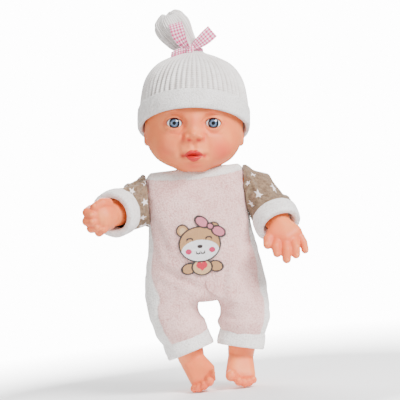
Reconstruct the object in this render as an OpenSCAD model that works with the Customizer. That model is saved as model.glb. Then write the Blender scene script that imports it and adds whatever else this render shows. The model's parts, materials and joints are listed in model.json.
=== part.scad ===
// Dressed 30 cm baby doll with a press-to-talk belly: vinyl head and limbs on a clamshell torso that
// holds the sound unit, in a one-piece romper and a knitted hat. The doll faces -Y, +Z is up,
// its own left is +X, and the origin lies on the floor under its middle.

/* [Body] */
// Height of the hip axis above the toe tips
hip_z = 98; // [85:1:118]
// Height of the shoulder axis above the hip axis
trunk_h = 76; // [70:1:92]
// Half width of the torso shell at the belly
torso_rx = 38; // [34:1:44]
// Half depth of the torso shell at the belly
torso_ry = 28; // [26:1:34]
// Wall of the moulded torso shells
shell_wall = 2.4; // [1.6:0.2:3.0]

/* [Head] */
// Half width of the head at the temples
head_rx = 43; // [36:1:50]
// Half depth of the head
head_ry = 46; // [40:1:54]
// Height of the head above the neck seat
head_h = 101; // [86:1:118]
// Sideways lean of the head on its neck, in degrees
head_lean = 6; // [0:1:8]
// Wall of the cast vinyl head and limbs
vinyl_wall = 2.6; // [1.8:0.2:3.2]
// Radius of an inset eye
eye_r = 8.6; // [7:0.2:10]
// Distance between the eye centres
eye_gap = 33.4; // [28:0.2:36]

/* [Joints] */
// Radius of the neck post
neck_r = 12; // [9:0.5:14]
// Radius of the stems of the shoulder and hip discs
stem_r = 6; // [4:0.5:7]
// Radial running clearance of a stem or post
run_gap = 0.06; // [0.02:0.01:0.1]
// Distance from the middle to the flat of a shoulder socket
shoulder_x = 34; // [31:0.5:38]
// Distance from the middle to the flat of a hip socket
hip_x = 24; // [22:0.5:28]

/* [Limbs] */
// Length of the arm as a share of the drawn arm
arm_len = 1; // [0.8:0.02:1.2]
// Radius of the upper arm at the shoulder
arm_r = 15; // [12:0.5:16]
// Radius of the thigh
thigh_r = 18; // [15:0.5:19]
// Radius of the ankle
ankle_r = 11.5; // [9:0.5:13]

/* [Clothes] */
// Thickness of the terry and knit
cloth = 2.2; // [1.4:0.2:3.0]
// Air between the body and the romper
ease = 1.4; // [1.0:0.1:2.2]
// Radius of a sleeve at the armhole
sleeve_r = 19.5; // [18.6:0.1:21]
// Extra radius of a turned-back cuff
cuff_t = 1.6; // [0.8:0.2:2.4]
// Height of the turned-up edge of the hat
brim_h = 17; // [12:1:24]
// Air between the head and the hat
hat_gap = 1.6; // [1.2:0.2:2.6]

/* [Sound unit] */
// Diameter of a battery cell
cell_d = 10.5; // [9:0.5:11]
// Length of a battery cell
cell_l = 44.5; // [40:0.5:46]
// Number of battery cells side by side
cells = 2; // [1:1:2]
// Diameter of the speaker
speaker_d = 28; // [22:1:30]
// Diameter of the belly button
button_d = 20; // [16:1:24]
// How far the belly button presses in
button_travel = 2.5; // [1.5:0.5:3]

/* [Hidden] */

skin_colour = "sandybrown";
shell_colour = "bisque";
terry_colour = "mistyrose";
trim_colour = "whitesmoke";
sleeve_colour = "rosybrown";
metal_colour = "silver";
black_colour = [0.12, 0.12, 0.13];
board_colour = "darkgreen";

air = 0.4;             // gap between two pieces that only meet
seat_gap = 0.3;        // gap between a limb and its socket
drop = 22;             // depth of the crotch under the hip axis
thigh_top = 26.8;      // radius that a swinging thigh and its trouser need
trouser_r = 26;        // radius of the trouser round the hip axis
inner_cut = 38;        // how far down the inside of a thigh stays clear of the crotch
shoulder_z = hip_z + trunk_h;
neck_z = shoulder_z + 17;
torso_top = neck_z - 4;
limb_turn = 20;        // sides of a limb
body_turn = 30;        // sides of the head, hat, torso and romper
big = 400;

// ---- smooth paths and skins -------------------------------------------------------------------

// A point on the smooth curve through the points p, at t from 0 to the last index
function on_curve(p, t) =
  let (last = len(p) - 1, i = min(floor(t), last - 1), u = t - i)
  let (a = p[max(i - 1, 0)], b = p[i], c = p[i + 1], d = p[min(i + 2, last)])
  0.5 * (2 * b + (c - a) * u + (2 * a - 5 * b + 4 * c - d) * u * u
         + (3 * b - a - 3 * c + d) * u * u * u);

function unit(v) = v / norm(v);
function head3(v) = [v[0], v[1], v[2]];

// One ring of a limb: a section is [x, y, z, radius]; ref is a direction the limb never follows
function limb_ring(p, t, ref, grow, sides) =
  let (s = on_curve(p, t), e = 0.02, last = len(p) - 1)
  let (ahead = on_curve(p, min(t + e, last)), behind = on_curve(p, max(t - e, 0)))
  let (along = unit(head3(ahead) - head3(behind)))
  let (n1 = unit(ref - (ref * along) * along), n2 = cross(along, n1), r = s[3] + grow)
  [for (k = [0 : sides - 1]) head3(s) + r * cos(360 * k / sides) * n1 + r * sin(360 * k / sides) * n2];

// One ring of an upright body: a section is [z, y of the middle, half width, half depth]
function body_ring(p, t, grow, sides) =
  let (s = on_curve(p, t))
  [for (k = [0 : sides - 1])
    [(s[2] + grow) * cos(360 * k / sides), s[1] + (s[3] + grow) * sin(360 * k / sides), s[0]]];

// A closed solid through rings of points, each ring ordered anticlockwise seen from its far side
module skin(rings) {
  n = len(rings[0]);
  m = len(rings);
  sides = [for (j = [0 : m - 2], k = [0 : n - 1])
    let (a = j * n + k, b = j * n + (k + 1) % n)
    each [[a, a + n, b + n], [a, b + n, b]]];
  ends = [[for (k = [0 : n - 1]) k], [for (k = [n - 1 : -1 : 0]) (m - 1) * n + k]];
  polyhedron([for (r = rings) each r], concat(sides, ends));
}

module limb(p, ref, grow = 0, from = 0, to = undef, step = 0.5, sides = limb_turn) {
  end = is_undef(to) ? len(p) - 1 : to;
  count = ceil((end - from) / step);
  skin([for (i = [0 : count]) limb_ring(p, from + (end - from) * i / count, ref, grow, sides)]);
}

module upright(p, grow = 0, from = 0, to = undef, step = 0.7, sides = body_turn) {
  end = is_undef(to) ? len(p) - 1 : to;
  count = ceil((end - from) / step);
  skin([for (i = [0 : count]) body_ring(p, from + (end - from) * i / count, grow, sides)]);
}

// A cylinder that lies along X, from x0 to x1, on side = 1 or -1
module x_rod(r, x0, x1, side = 1, fn = 48) {
  translate([side > 0 ? x0 : -x1, 0, 0]) rotate([0, 90, 0]) cylinder(r = r, h = x1 - x0, $fn = fn);
}

// A cylinder that lies along Y, from y0 to y1
module y_rod(r, y0, y1, fn = 48) {
  translate([0, y1, 0]) rotate([90, 0, 0]) cylinder(r = r, h = y1 - y0, $fn = fn);
}

// ---- torso ------------------------------------------------------------------------------------

wide = torso_rx / 38;
deep = torso_ry / 28;
tall = trunk_h / 76;

// The bare torso, from the seat up to the neck
torso_form = [
  [hip_z - 19, 0, 9 * wide, 9 * deep],
  [hip_z - 17, 0, 18 * wide, 15 * deep],
  [hip_z - 9, 0, 29 * wide, 21 * deep],
  [hip_z + 4 * tall, -1, 34 * wide, 24 * deep],
  [hip_z + 20 * tall, -2, 37 * wide, 27 * deep],
  [hip_z + 36 * tall, -2, torso_rx, torso_ry],
  [hip_z + 52 * tall, -1, 37 * wide, 26 * deep],
  [hip_z + 66 * tall, 0, 36 * wide, 23 * deep],
  [shoulder_z + 3, 0, 35.5 * wide, 20 * deep],
  [shoulder_z + 9, 0, 34 * wide, 17.5 * deep],
  [shoulder_z + 11.5, 0, 29 * wide, 16 * deep],
  [torso_top, 0, 18, 14.5]
];

stem_hole = stem_r + run_gap;
disc_r = stem_r + 3;               // flange inside the torso
disc_t = 2;                        // flange thickness
function disc_inner(socket_x) = socket_x - shell_wall - air - disc_t;
arm_socket_r = arm_r + 1.6;

module at_shoulder() { translate([0, 0, shoulder_z]) children(); }
module at_hip() { translate([0, 0, hip_z]) children(); }

// Everything further out than x on one side, below z
module beyond(x, side, z = big) {
  translate([side > 0 ? x : -big - x, -big / 2, z - big]) cube([big, big, big]);
}

module limb_sockets(grow) {
  for (side = [-1, 1]) {
    at_shoulder() x_rod(arm_socket_r + grow, shoulder_x - grow, big, side);
    beyond(hip_x - grow, side, hip_z + thigh_top + 0.3 + grow);
  }
}

touch = 0.02;                      // hairline between hard parts that rest on each other
skin = 0.1;                        // hairline between soft parts that lie on each other
disc_play = 0.5;                   // room round a disc's flange
end_play = 0.4;                    // room at the end of a disc, post or box

// Room for the flange of a shoulder or hip disc behind its socket
module disc_rooms() {
  for (side = [-1, 1]) {
    at_shoulder() x_rod(disc_r + disc_play, disc_inner(shoulder_x) - end_play, shoulder_x - shell_wall, side);
    at_hip() x_rod(disc_r + disc_play, disc_inner(hip_x) - end_play, hip_x - shell_wall, side);
  }
}

// Where the neck post is held between the two shells
collar_reach = 3;                  // how far the post's collars stand out
collar_t = 3;                      // thickness of the collar between the shells
post_foot_z = torso_top - 9;       // underside of the neck post
post_collar_z = torso_top - 7;     // underside of its lower collar
post_collar_r = neck_r + collar_reach;
module neck_seat(grow) {
  translate([0, 0, post_foot_z]) cylinder(r = neck_r + grow, h = 30, $fn = 64);
  translate([0, 0, post_collar_z]) cylinder(r = post_collar_r + grow, h = collar_t, $fn = 64);
}

screw_spots = [[-29 * wide, hip_z + 34 * tall], [29 * wide, hip_z + 34 * tall],
               [-12, hip_z + 2], [12, hip_z + 2]];
boss_r = 3.2;
pilot_r = 1.12;
shank_r = 1.1;
screw_head_r = 2.4;
screw_head_t = 1.8;
screw_seat = 4;                    // where the screw heads sit in the back shell
screw_room = 0.3;                  // room round a screw's shank and head
screw_reach = 12;                  // how far a shell screw goes into the front shell
stem_wall = 5;                     // half the depth of the hole for a limb's stem

module torso_half(front) {
  // everything on this side of the parting plane y = 0
  keep = front ? -big : 0;
  difference() {
    intersection() {
      translate([-big / 2, keep, 0]) cube([big, big, big]);
      difference() {
        upright(torso_form);
        limb_sockets(0);
      }
    }
    difference() {
      upright(torso_form, grow = -shell_wall, from = 0.75, to = 10.4);
      limb_sockets(shell_wall);
      translate([0, 0, post_foot_z - 2]) cylinder(r = post_collar_r + 2, h = 20, $fn = 64);
      torso_inside(front);
    }
    for (side = [-1, 1]) {
      at_shoulder() x_rod(stem_hole, shoulder_x - stem_wall, shoulder_x + stem_wall, side);
      at_hip() x_rod(stem_hole, hip_x - stem_wall, hip_x + stem_wall, side);
    }
    disc_rooms();
    neck_seat(run_gap);
    torso_cuts(front);
  }
}

// Posts, the button's seat and the frame of the battery door, which stand inside the shells
module torso_inside(front) {
  for (spot = screw_spots) translate([spot[0], 0, spot[1]])
    if (front) y_rod(boss_r, -big, 0); else y_rod(boss_r + 0.6, 0, big);
  if (front) {
    translate([0, 0, button_z]) y_rod(button_d / 2 + 3, -big, button_lip_y - air);
  } else {
    translate([-door_w / 2 - 2, door_y - frame_d, door_z - 2]) cube([door_w + 4, big, door_l + 4]);
  }
}

module torso_cuts(front) {
  for (spot = screw_spots) translate([spot[0], 0, spot[1]])
    if (front) y_rod(pilot_r, -screw_reach - 2, 1);
    else {
      y_rod(shank_r + screw_room, -1, big);
      y_rod(screw_head_r + screw_room, screw_seat, big);
    }
  if (front) {
    translate([0, 0, button_z]) y_rod(button_d / 2 + run_gap, -big, button_lip_y + 1);
    speaker_grille();
  } else {
    door_opening();
    switch_window();
  }
}

module torso_front_shell() {
  color(shell_colour) torso_half(true);
}

module torso_back_shell() {
  color(shell_colour) torso_half(false);
}

module torso_screws() {
  color(metal_colour) for (spot = screw_spots) translate([spot[0], 0, spot[1]]) {
    y_rod(shank_r, -screw_reach, screw_seat, 24);
    y_rod(screw_head_r, screw_seat, screw_seat + screw_head_t, 24);
  }
}

// A mushroom post: held by its collar in the torso, its cap keeps the head on
post_cap_r = neck_r + 3.4;
post_cap_t = 6;                    // height of the cap inside the head
post_cap_edge = 3;                 // height at which the cap begins to round over
module neck_post() {
  cap_z = neck_z + head_floor;
  color(shell_colour) rotate_extrude($fn = 64) polygon([
    [0, post_foot_z], [neck_r, post_foot_z], [neck_r, post_collar_z], [post_collar_r, post_collar_z],
    [post_collar_r, post_collar_z + collar_t], [neck_r, post_collar_z + collar_t],
    [neck_r, torso_top + touch], [post_collar_r, torso_top + touch],
    [post_collar_r, neck_z - skin], [neck_r, neck_z - skin],
    [neck_r, cap_z + end_play], [post_cap_r, cap_z + end_play],
    [post_cap_r - 1, cap_z + post_cap_edge], [post_cap_r - post_cap_t, cap_z + post_cap_t],
    [0, cap_z + post_cap_t]]);
}

// ---- sound unit -------------------------------------------------------------------------------

box_wall = 1.6;
cell_gap = 0.5;                    // room round a cell
spring_l = 3.1;                    // length of a contact spring with the cell in
plate_t = 0.6;                     // thickness of a contact plate
contact_gap = 0.04;                // air at each end of a cell and a contact
box_w = cells * (cell_d + cell_gap) + 2 * box_wall;
box_l = cell_l + spring_l + plate_t + 4 * contact_gap + 2 * box_wall;
box_d = cell_d + cell_gap + box_wall;
door_t = 1.6;
door_y = 20.5 * deep;              // inner face of the battery door
box_z = hip_z + 12 * tall;         // bottom of the battery box
door_w = box_w + 4;
door_l = box_l + 9;
door_z = box_z - 7;
door_gap = 0.25;
frame_d = 6;                       // depth of the frame behind the battery door

module door_opening() {
  translate([-door_w / 2 - door_gap, door_y - touch, door_z - door_gap])
    cube([door_w + 2 * door_gap, big, door_l + 2 * door_gap]);
  translate([-box_w / 2, door_y - 2 * frame_d, box_z]) cube([box_w, big, box_l]);
  translate([0, 0, door_screw_z]) y_rod(pilot_r, door_y - frame_d - 1, big, 24);
}

module battery_box() {
  color(shell_colour) difference() {
    translate([-box_w / 2, door_y - end_play - box_d, box_z]) cube([box_w, box_d, box_l]);
    translate([-box_w / 2 + box_wall, door_y - end_play - box_d + box_wall, box_z + box_wall])
      cube([box_w - 2 * box_wall, big, box_l - 2 * box_wall]);
  }
}

cell_y = door_y - end_play - (cell_d + cell_gap) / 2;
cell_z = box_z + box_wall + spring_l + 2 * contact_gap;
nub_l = 1;                         // the cell's raised end
nub_d = 3.8;
spring_r = 3.6;                    // foot of a contact spring
spring_tip_r = 2.4;
spring_wire = 0.6;                 // thickness of the spring's wire
plate_w = 7;                       // side of a contact plate
function cell_x(i) = (i - (cells - 1) / 2) * (cell_d + cell_gap);

module battery_cells() {
  for (i = [0 : cells - 1]) translate([cell_x(i), cell_y, cell_z]) {
    color("goldenrod") cylinder(d = cell_d, h = cell_l - nub_l, $fn = 40);
    color(metal_colour) translate([0, 0, cell_l - nub_l]) cylinder(d = nub_d, h = nub_l, $fn = 24);
  }
}

module battery_springs() {
  // each spring is drawn as its pressed outer cone
  color(metal_colour) for (i = [0 : cells - 1]) translate([cell_x(i), cell_y, box_z + box_wall + contact_gap])
    difference() {
      cylinder(r1 = spring_r, r2 = spring_tip_r, h = spring_l, $fn = 32);
      translate([0, 0, 0.4])
        cylinder(r1 = spring_r - spring_wire, r2 = spring_tip_r - spring_wire, h = spring_l, $fn = 32);
    }
}

module battery_plates() {
  plate_z = cell_z + cell_l + contact_gap;
  color(metal_colour) for (i = [0 : cells - 1])
    translate([cell_x(i) - plate_w / 2, cell_y - plate_w / 2, plate_z]) cube([plate_w, plate_w, plate_t]);
}

door_screw_z = door_z + 3.4;
door_hole_r = 1.4;
grip_w = 10;                       // width of the finger grooves on the door
grip_pitch = 3;
module battery_door() {
  color(shell_colour) difference() {
    translate([-door_w / 2, door_y, door_z]) cube([door_w, door_t, door_l]);
    translate([0, 0, door_screw_z]) y_rod(door_hole_r, 0, big);
    for (i = [0 : 3])
      translate([-grip_w / 2, door_y + door_t - 0.5, door_z + door_l - (i + 2) * grip_pitch])
        cube([grip_w, 1, 1.2]);
  }
}

module battery_door_screw() {
  color(metal_colour) translate([0, 0, door_screw_z]) {
    y_rod(shank_r, door_y - frame_d + 1, door_y + door_t, 24);
    y_rod(2 * shank_r, door_y + door_t, door_y + door_t + 0.9, 24);
  }
}

board_t = 1.6;
board_y = -4;                      // back face of the board
board_w = 36 * wide;
board_h = 50;
board_z = hip_z + 9 * tall;        // bottom of the board
button_z = hip_z + 29.5 * tall;
board_hole_in = 3;                 // how far the holes stand in from the board's edges
board_hole_x = board_w / 2 - board_hole_in;
board_hole_r = 1.3;

module sound_board() {
  color(board_colour) difference() {
    translate([-board_w / 2, board_y - board_t, board_z]) cube([board_w, board_t, board_h]);
    for (sx = [-1, 1], z = [board_hole_in, board_h - board_hole_in])
      translate([sx * board_hole_x, 0, board_z + z]) y_rod(board_hole_r, -20, 20, 24);
  }
}

module board_screws() {
  color(metal_colour) for (sx = [-1, 1], z = [board_hole_in, board_h - board_hole_in])
    translate([sx * board_hole_x, 0, board_z + z]) {
      y_rod(1, board_y - board_t - 3, board_y, 24);
      y_rod(2, board_y, board_y + 1.2, 24);
    }
}

// The black resin drop over the sound chip, and three small parts beside it
module sound_chip() {
  color(black_colour) {
    translate([-8, board_y + touch, board_z + 14]) rotate([-90, 0, 0])
      cylinder(r1 = 6, r2 = 4.5, h = 1.8, $fn = 40);
    for (i = [0 : 2]) translate([4 + 4 * i, board_y + touch, board_z + 11]) cube([2, 1.2, 3.4]);
  }
}

switch_w = 6;                      // side of the press switch
switch_d = 2.4;                    // depth of its case
plunger_l = 1;                     // how far its plunger stands out
switch_top_y = board_y - board_t - switch_d - plunger_l;
module press_switch() {
  color(black_colour) {
    translate([-switch_w / 2, switch_top_y + plunger_l, button_z - switch_w / 2])
      cube([switch_w, switch_d - touch, switch_w]);
    translate([0, 0, button_z]) y_rod(1.7, switch_top_y, switch_top_y + plunger_l, 32);
  }
}

belly_y = -torso_ry - 2;           // foremost point of the torso shell
button_front = belly_y - 1;
button_lip = 1.4;                  // width of the rim that holds the button in
button_lip_y = belly_y + shell_wall + 3.4;
module belly_button() {
  stem_end = switch_top_y - button_travel - skin;
  color("salmon") translate([0, 0, button_z]) {
    y_rod(button_d / 2, button_front, button_lip_y, 64);
    y_rod(button_d / 2 + button_lip, button_lip_y, button_lip_y + button_lip, 64);
    y_rod(2, button_lip_y + button_lip, stem_end, 32);
  }
}

coil_r = 5.4;
coil_wire = 0.8;
module belly_button_spring() {
  // the coil's outer tube between the button and the board
  color(metal_colour) translate([0, 0, button_z]) difference() {
    y_rod(coil_r, button_lip_y + button_lip + touch, board_y - board_t - touch, 40);
    y_rod(coil_r - coil_wire, -big, big, 40);
  }
}

speaker_z = shoulder_z - 15.5;
speaker_y = -16.4 * deep;          // front face of the speaker's rim
speaker_r = speaker_d / 2;
basket_d = 3.4;                    // depth of the speaker's basket
magnet_r = 7.5;
magnet_d = 3.6;
grille_pitch = 4;

module speaker_grille() {
  for (x = [-2 : 2], z = [-2 : 2])
    if (x * x + z * z < 6) translate([grille_pitch * x, 0, speaker_z + grille_pitch * z])
      y_rod(1, -big, speaker_y, 16);
}

module speaker_basket() {
  color(metal_colour) translate([0, 0, speaker_z]) {
    difference() {
      y_rod(speaker_r, speaker_y, speaker_y + basket_d, 64);
      y_rod(speaker_r - 1.2, speaker_y - 1, speaker_y + basket_d - 1, 64);
    }
    y_rod(magnet_r, speaker_y + basket_d, speaker_y + basket_d + magnet_d, 48);
  }
}

module speaker_cone() {
  color(black_colour) translate([0, 0, speaker_z]) difference() {
    y_rod(speaker_r - 1.5, speaker_y + 0.4, speaker_y + 2.2, 64);
    translate([0, speaker_y + 0.3, 0]) rotate([-90, 0, 0])
      cylinder(r1 = speaker_r - 3, r2 = 4, h = 1.4, $fn = 48);
  }
}

module speaker_ring() {
  color(shell_colour) translate([0, 0, speaker_z]) difference() {
    y_rod(speaker_r + 1.8, speaker_y + 0.2, speaker_y + 3, 64);
    y_rod(speaker_r + 0.15, speaker_y - 1, speaker_y + 5, 64);
  }
}

knob_travel = 3;
knob_w = 2.4;
slot_l = knob_travel + knob_w;     // length the knob sweeps
power_z = box_z + box_l + 10;
power_y = 14.4 * deep;             // front of the switch body
module switch_window() {
  translate([-slot_l / 2 - 0.3, 0, power_z - 1.3]) cube([slot_l + 0.6, big, 2.6]);
}

module power_switch_body() {
  color(metal_colour) difference() {
    translate([-5, power_y, power_z - 2.5]) cube([10, 3.2, 5]);
    translate([-slot_l / 2 - 0.2, power_y + 1, power_z - 1.2]) cube([slot_l + 0.4, big, 2.4]);
  }
}

module power_switch_knob() {
  color(black_colour)
    translate([-slot_l / 2, power_y + 1.1, power_z - 1]) cube([knob_w, 5.7, 2]);
}

// Two wires side by side along a route of [x, y, z] points
wire_r = 0.6;
battery_route = [[-6, door_y - box_d - 1, box_z + 4], [-7, 2, box_z + 3],
                 [-8, 0, board_z + 7], [-8, -3.2, board_z + 5]];
speaker_route = [[6, speaker_y + 8, speaker_z], [6.4, -5, board_z + board_h + 4],
                 [6, -1.5, board_z + board_h + 1], [5, -3.2, board_z + board_h - 5]];
module wire_pair(route) {
  for (dx = [0, 2])
    limb([for (p = route) [p[0] + dx, p[1], p[2], wire_r]], [1, 0, 0], step = 0.3, sides = 8);
}
module battery_wires() { color("firebrick") wire_pair(battery_route); }
module speaker_wires() { color(black_colour) wire_pair(speaker_route); }

// ---- romper -----------------------------------------------------------------------------------

// The outside of the romper's body, from the seat to the neckline
romper_rx = torso_rx + ease + cloth + 5;
romper_ry = torso_ry + ease + cloth;
romper_form = [
  [hip_z - drop, 0, 16, 13],
  [hip_z - drop + 4, 0, 34, 22 * deep],
  [hip_z - 6, 0, 46 * wide, 27 * deep],
  [hip_z + 8 * tall, -1, 49 * wide, 29.8 * deep],
  [hip_z + 22 * tall, -2, 48 * wide, romper_ry],
  [hip_z + 36 * tall, -2, romper_rx, romper_ry + 0.4],
  [hip_z + 52 * tall, -1, 43.5 * wide, 30 * deep],
  [hip_z + 66 * tall, 0, 43 * wide, 27 * deep],
  [shoulder_z + 3, 0, 42 * wide, 23.5 * deep],
  [shoulder_z + 10, 0, 39 * wide, 21 * deep],
  [shoulder_z + 14, 0, 33 * wide, 19 * deep],
  [neck_z - 1, 0, 24, 18]
];
sleeve_x = shoulder_x + 9;         // where a sleeve leaves the armhole
armhole_r = arm_socket_r + 1.2;

module romper_body() {
  color(terry_colour) difference() {
    upright(romper_form);
    upright(torso_form, grow = ease);
    for (side = [-1, 1]) {
      at_shoulder() x_rod(armhole_r, shoulder_x - 4, big, side);
      beyond(sleeve_x, side);
      beyond(hip_x, side, hip_z + thigh_top + 1.4);
    }
    translate([0, 0, neck_z - 14]) cylinder(r = collar_r + air, h = 30, $fn = 64);
    translate([0, 0, button_z]) y_rod(button_d / 2 + 1, button_front - 0.6, 0);
  }
}

collar_r = neck_r + 7;
module romper_collar() {
  color(trim_colour) translate([0, 0, torso_top + skin]) difference() {
    cylinder(r = collar_r, h = neck_z - torso_top - 0.8, $fn = 64);
    translate([0, 0, -1]) cylinder(r = collar_r - cloth, h = 8, $fn = 64);
  }
}

// Hook-and-loop strip that closes the romper down its back
tape_w = 12;
module romper_back_tape() {
  color(trim_colour) intersection() {
    translate([-tape_w / 2, 0, hip_z + 26 * tall]) cube([tape_w, big, trunk_h * 0.62]);
    difference() {
      upright(romper_form, grow = patch_t);
      upright(romper_form, grow = skin);
    }
  }
}

// Stitched bear over the belly button: a thin pad on the romper's front
patch_w = 44;
patch_h = 50;
patch_t = 1.2;
module bear_patch() {
  color("tan") intersection() {
    translate([0, 0, button_z]) hull() for (dz = [-1, 1])
      translate([0, 0, dz * (patch_h - patch_w) / 2]) y_rod(patch_w / 2, -big / 2, -5, 40);
    difference() {
      upright(romper_form, grow = patch_t + skin);
      upright(romper_form, grow = skin);
    }
  }
}

// ---- head -------------------------------------------------------------------------------------

hx = head_rx / 43;
hy = head_ry / 46;
hh = head_h / 101;
head_floor = 3;                    // thickness of the head's floor round the post

// The head's outside in its own frame, with the neck seat at z = 0
head_form = [
  [0, -5 * hy, 17 * hx, 24 * hy],
  [3 * hh, -5 * hy, 23 * hx, 30 * hy],
  [9 * hh, -4 * hy, 31 * hx, 36 * hy],
  [19 * hh, -2 * hy, 39.5 * hx, 41 * hy],
  [31 * hh, -0.5 * hy, 42.6 * hx, 44 * hy],
  [46 * hh, 0, head_rx, head_ry],
  [61 * hh, 0.5 * hy, 42.4 * hx, 45.6 * hy],
  [75 * hh, 1 * hy, 39.5 * hx, 42.5 * hy],
  [86 * hh, 1 * hy, 33.5 * hx, 36.5 * hy],
  [94 * hh, 1 * hy, 25 * hx, 28 * hy],
  [99 * hh, 1 * hy, 14 * hx, 16 * hy],
  [head_h, 1 * hy, 2, 2.4]
];
eye_z = 41 * hh;
eye_y = -34.2 * hy;
neck_ring_r = 17;

// The head's own frame: it leans sideways about the neck seat
module in_head() {
  translate([0, 0, neck_z]) rotate([0, head_lean, 0]) children();
}

module head_shell() {
  color(skin_colour) difference() {
    union() {
      in_head() upright(head_form);
      in_head() for (side = [-1, 1]) translate([side * (head_rx - 3), 2, 30 * hh])
        sphere(r = 6.4, $fn = 32);
      translate([0, 0, neck_z]) cylinder(r = neck_ring_r, h = head_floor, $fn = 64);
    }
    difference() {
      in_head() upright(head_form, grow = -vinyl_wall, from = 1, to = 10.5);
      translate([0, 0, neck_z - 1]) cylinder(r = neck_ring_r, h = head_floor + 1, $fn = 64);
    }
    translate([-big / 2, -big / 2, neck_z - big]) cube([big, big, big]);
    translate([0, 0, neck_z - 1]) cylinder(r = neck_r + run_gap, h = head_floor + 2, $fn = 64);
    translate([0, 0, neck_z + head_floor]) cylinder(r = neck_ring_r, h = 8, $fn = 64);
    for (side = [-1, 1]) in_head() translate([side * eye_gap / 2, eye_y, eye_z])
      sphere(r = eye_r + 0.15, $fn = 48);
  }
}

module eye(side) {
  color("white") in_head() translate([side * eye_gap / 2, eye_y, eye_z]) sphere(r = eye_r, $fn = 48);
}
module left_eye() { eye(1); }
module right_eye() { eye(-1); }

// ---- hat --------------------------------------------------------------------------------------

hat_slope = 20;                    // the hat's edge rises to the front by this many degrees
hat_edge = 37.5 * hh;              // height of the edge at the ears, in the head's frame
hat_t = 2.4;                       // thickness of the knit
hat_rx = head_rx + hat_gap;        // the hat is as wide inside as the head is at its widest
hat_ry = head_ry + hat_gap;
tie_z = head_h + 4;                // height of the ribbon's knot

hat_form = [
  [14 * hh, 0, hat_rx, hat_ry],
  [30 * hh, 0, hat_rx, hat_ry],
  [46 * hh, 0, hat_rx, hat_ry],
  [61 * hh, 0.5, hat_rx, hat_ry],
  [75 * hh, 1, 41.6 * hx, 44.6 * hy],
  [86 * hh, 1, 36 * hx, 39 * hy],
  [95 * hh, 1, 27 * hx, 30 * hy],
  [head_h, 1, 14 * hx, 16 * hy],
  [tie_z, 1, 6, 6]
];

// Everything above the hat's sloping edge, raised by lift
module above_edge(lift) {
  translate([0, 0, hat_edge + lift]) rotate([-hat_slope, 0, 0]) translate([-big / 2, -big / 2, 0])
    cube([big, big, big]);
}

module hat_crown() {
  color(trim_colour) in_head() intersection() {
    difference() {
      upright(hat_form, grow = hat_t, to = 8);
      upright(hat_form, to = 7.4);
    }
    above_edge(0);
  }
}

module hat_cuff() {
  color(trim_colour) in_head() difference() {
    intersection() {
      upright(hat_form, grow = hat_t + cuff_t + skin, to = 5);
      above_edge(0.2);
    }
    upright(hat_form, grow = hat_t + skin, to = 5.2);
    above_edge(brim_h);
  }
}

// The gathered top of the hat, tied off and leaning to the doll's right
tassel_path = [
  [0, 1, tie_z + 0.8, 5.6], [0, 1, tie_z + 3, 6], [-3, 0, tie_z + 6, 8], [-9, 0, tie_z + 15, 12.5],
  [-14, 0, tie_z + 25, 14], [-18, 0, tie_z + 33, 10], [-20, 0, tie_z + 36.5, 4]
];
module hat_tassel() {
  color(trim_colour) in_head() limb(tassel_path, [0, 1, 0], sides = 20);
}

// A bow of gingham ribbon in front of the tie: one loop, one tail and the knot
ribbon_t = 1.2;
ribbon_y = -6.8;
module ribbon_leaf(tip, w0, w1) {
  hull() {
    translate([0, ribbon_y - ribbon_t / 2, tie_z]) sphere(d = w0, $fn = 16);
    for (s = [-1, 1])
      translate([tip[0] + s * w1 * 0.35, ribbon_y - 4, tip[1] + s * w1 * 0.3])
        sphere(d = ribbon_t * 2, $fn = 16);
  }
}
module hat_ribbon() {
  color("pink") in_head() difference() {
    union() {
      ribbon_leaf([-12, tie_z + 18], 4, 12);
      ribbon_leaf([19, tie_z + 17], 4, 12);
      ribbon_leaf([-14, tie_z - 3], 4, 8);
    }
    limb([for (p = tassel_path) [p[0], p[1], p[2], p[3] + 0.3]], [0, 1, 0], sides = 20);
    upright(hat_form, grow = hat_t + 0.3);
  }
}

// ---- arms -------------------------------------------------------------------------------------

// The middle line of an arm from its socket, as [x, y, z, radius], x away from the body
function placed(points, side) =
  [for (p = points) [side * (shoulder_x + seat_gap + p[0] * (p[0] > 8 ? arm_len : 1)),
                     p[1] * arm_len, shoulder_z + p[2] * arm_len, p[3]]];
left_arm_path = placed([[0, 0, 0, arm_r - 0.6], [5, 0, 0, arm_r], [11, -0.5, -0.6, arm_r - 0.3],
                        [20, -4, -7.5, arm_r - 1], [27.5, -11, -19, arm_r - 2],
                        [32, -19, -30, arm_r - 3.4], [35.5, -27, -38.5, arm_r - 5.6]], 1);
right_arm_path = placed([[0, 0, 0, arm_r - 0.6], [4, 0, 0, arm_r], [10, -0.8, -0.6, arm_r - 0.3],
                         [20, -7, -4.5, arm_r - 1], [29, -17, -8.5, arm_r - 2],
                         [36, -28, -11.5, arm_r - 3.4], [41.5, -38, -13, arm_r - 5.6]], -1);
arm_end = 6;                       // last index of an arm's path
left_ref = [0, 1, 0];
right_ref = [0, 0, -1];

// A finger as a row of round joints from a point, each joint [x, y, z, radius] from the wrist
module finger(wrist, joints) {
  for (i = [0 : len(joints) - 2]) hull() for (j = [i, i + 1])
    translate(wrist + head3(joints[j]) * arm_len) sphere(r = joints[j][3], $fn = 10);
}

module arm_shell(path, ref, side) {
  wrist = head3(path[arm_end]);
  difference() {
    union() {
      limb(path, ref);
      children();
    }
    limb(path, ref, grow = -vinyl_wall, from = 1.2, to = arm_end - 0.4, sides = 16);
    at_shoulder() x_rod(disc_r - 1, shoulder_x - 2, shoulder_x + seat_gap + 3.1, side, 32);
    at_shoulder() x_rod(stem_r, shoulder_x - 2, shoulder_x + 12, side, 32);
  }
}

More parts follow.
